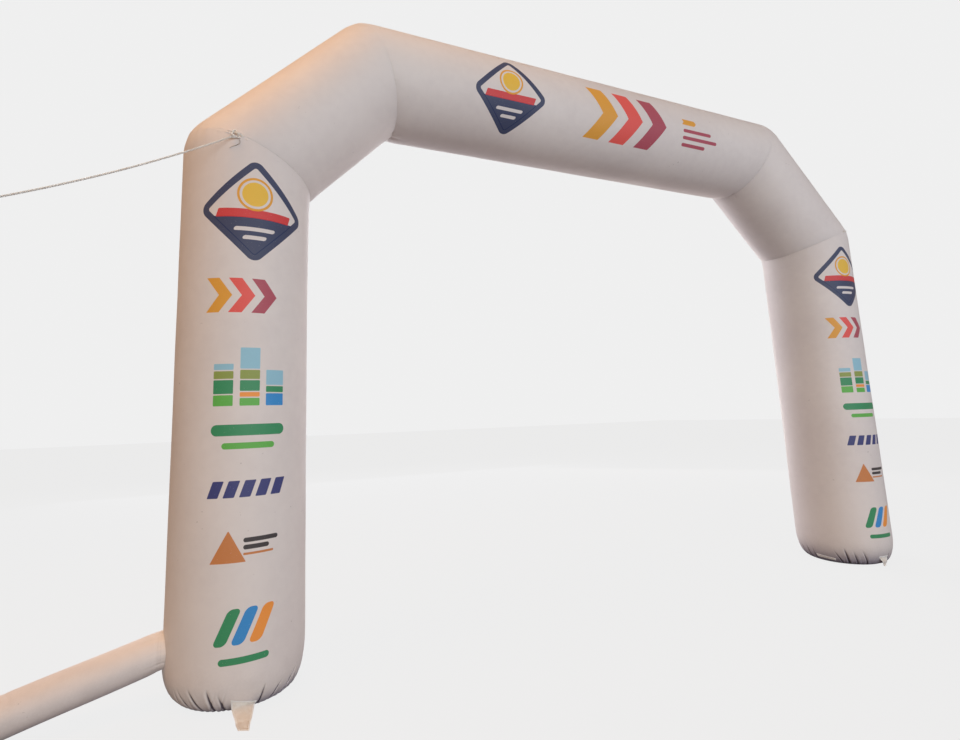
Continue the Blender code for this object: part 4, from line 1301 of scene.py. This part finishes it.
def add_light(name, place, aim, size, power, colour):
    """A soft rectangle of light; with a single size, a soft spot that fades out across the arch."""
    if isinstance(size, tuple):
        data = bpy.data.lights.new(name, "AREA")
        data.shape = "RECTANGLE"
        data.size, data.size_y = size
    else:
        data = bpy.data.lights.new(name, "SPOT")
        data.shadow_soft_size = size
        data.spot_size = KEY_CONE
        data.spot_blend = 1.0
    data.energy = power
    data.color = colour
    light = bpy.data.objects.new(name, data)
    light.location = place
    light.rotation_euler = (Vector(aim) - Vector(place)).to_track_quat("-Z", "Y").to_euler()
    bpy.context.scene.collection.objects.link(light)


def add_lights():
    """A warm key high on the left, soft fills in front and behind, and a pale studio all round."""
    for name, place, aim, size, power, colour in (
            ("warm key", (-6.5, -1.0, 11.5), (-3.0, 0, 3.6), 2.5, 1980, (1.0, 0.49, 0.15)),
            ("front fill", (0.0, -14.0, 4.0), (0.5, 0, 2.4), (12, 6), 895, (0.97, 0.995, 1.0)),
            ("front right fill", (8.0, -12.0, 5.0), (2.0, 0, 2.6), (7, 6), 250, (0.44, 0.66, 1.0)),
            ("high back", (0.5, 12.0, 9.0), (0.5, 0, 4.0), (12, 6), 1243, (0.931, 0.931, 1.0)),
            ("low back", (0.5, 12.0, 1.6), (0.5, 0, 4.0), (14, 3), 330, (0.884, 0.90, 1.0)),
            ("low back right", (10.0, 8.0, 2.5), (1.5, 0, 4.0), (8, 4), 330, (1.0, 0.90, 0.88))):
        add_light(name, place, aim, size, power, colour)
    world = bpy.data.worlds.new("soft studio")
    world.use_nodes = True
    tree = world.node_tree
    around = tree.nodes["Background"]
    around.inputs["Color"].default_value = (1.0, 0.79, 0.66, 1)
    around.inputs["Strength"].default_value = 0.345
    backdrop = put(tree, "ShaderNodeBackground", Color=(0.94, 0.94, 0.94, 1), Strength=0.92)
    both = tree.nodes.new("ShaderNodeMixShader")
    tree.links.new(put(tree, "ShaderNodeLightPath").outputs["Is Camera Ray"], both.inputs[0])
    tree.links.new(around.outputs[0], both.inputs[1])
    tree.links.new(backdrop.outputs[0], both.inputs[2])
    tree.links.new(both.outputs[0], tree.nodes["World Output"].inputs[0])
    bpy.context.scene.world = world
    bpy.context.scene.view_settings.view_transform = "Standard"


# The arch

add_camera()
seams = make_seams()
guy(seams[-1, "low"])
left_creases = foot_creases(21, LEFT_CREASES, LEFT_OUT, ((93.2, 11), (0, 14)))
right_creases = foot_creases(22, RIGHT_CREASES, RIGHT_OUT, ((95, 10), (176, 13)))
leg("left_leg_cloth", "left_leg", LEFT_FOOT, left_creases, seams[-1, "low"], 21)
leg("right_leg_cloth", "right_leg", RIGHT_FOOT, right_creases, seams[1, "low"], 22)
span("left_shoulder_cloth", "left_shoulder", seams[-1, "low"], seams[-1, "high"], plain_cloth, 31)
span("beam_cloth", "beam", seams[-1, "high"], seams[1, "high"], beam_cloth, 32)
span("right_shoulder_cloth", "right_shoulder", seams[1, "high"], seams[1, "low"], plain_cloth, 33)
guy_strap("left_guy_strap_loop", "left_guy_strap", -1, seams[-1, "low"])
guy_strap("right_guy_strap_loop", "right_guy_strap", 1, seams[1, "low"])
ground_tabs()
inlet_duct()
duct_cuff()
ground_panels()
add_floor()
add_lights()
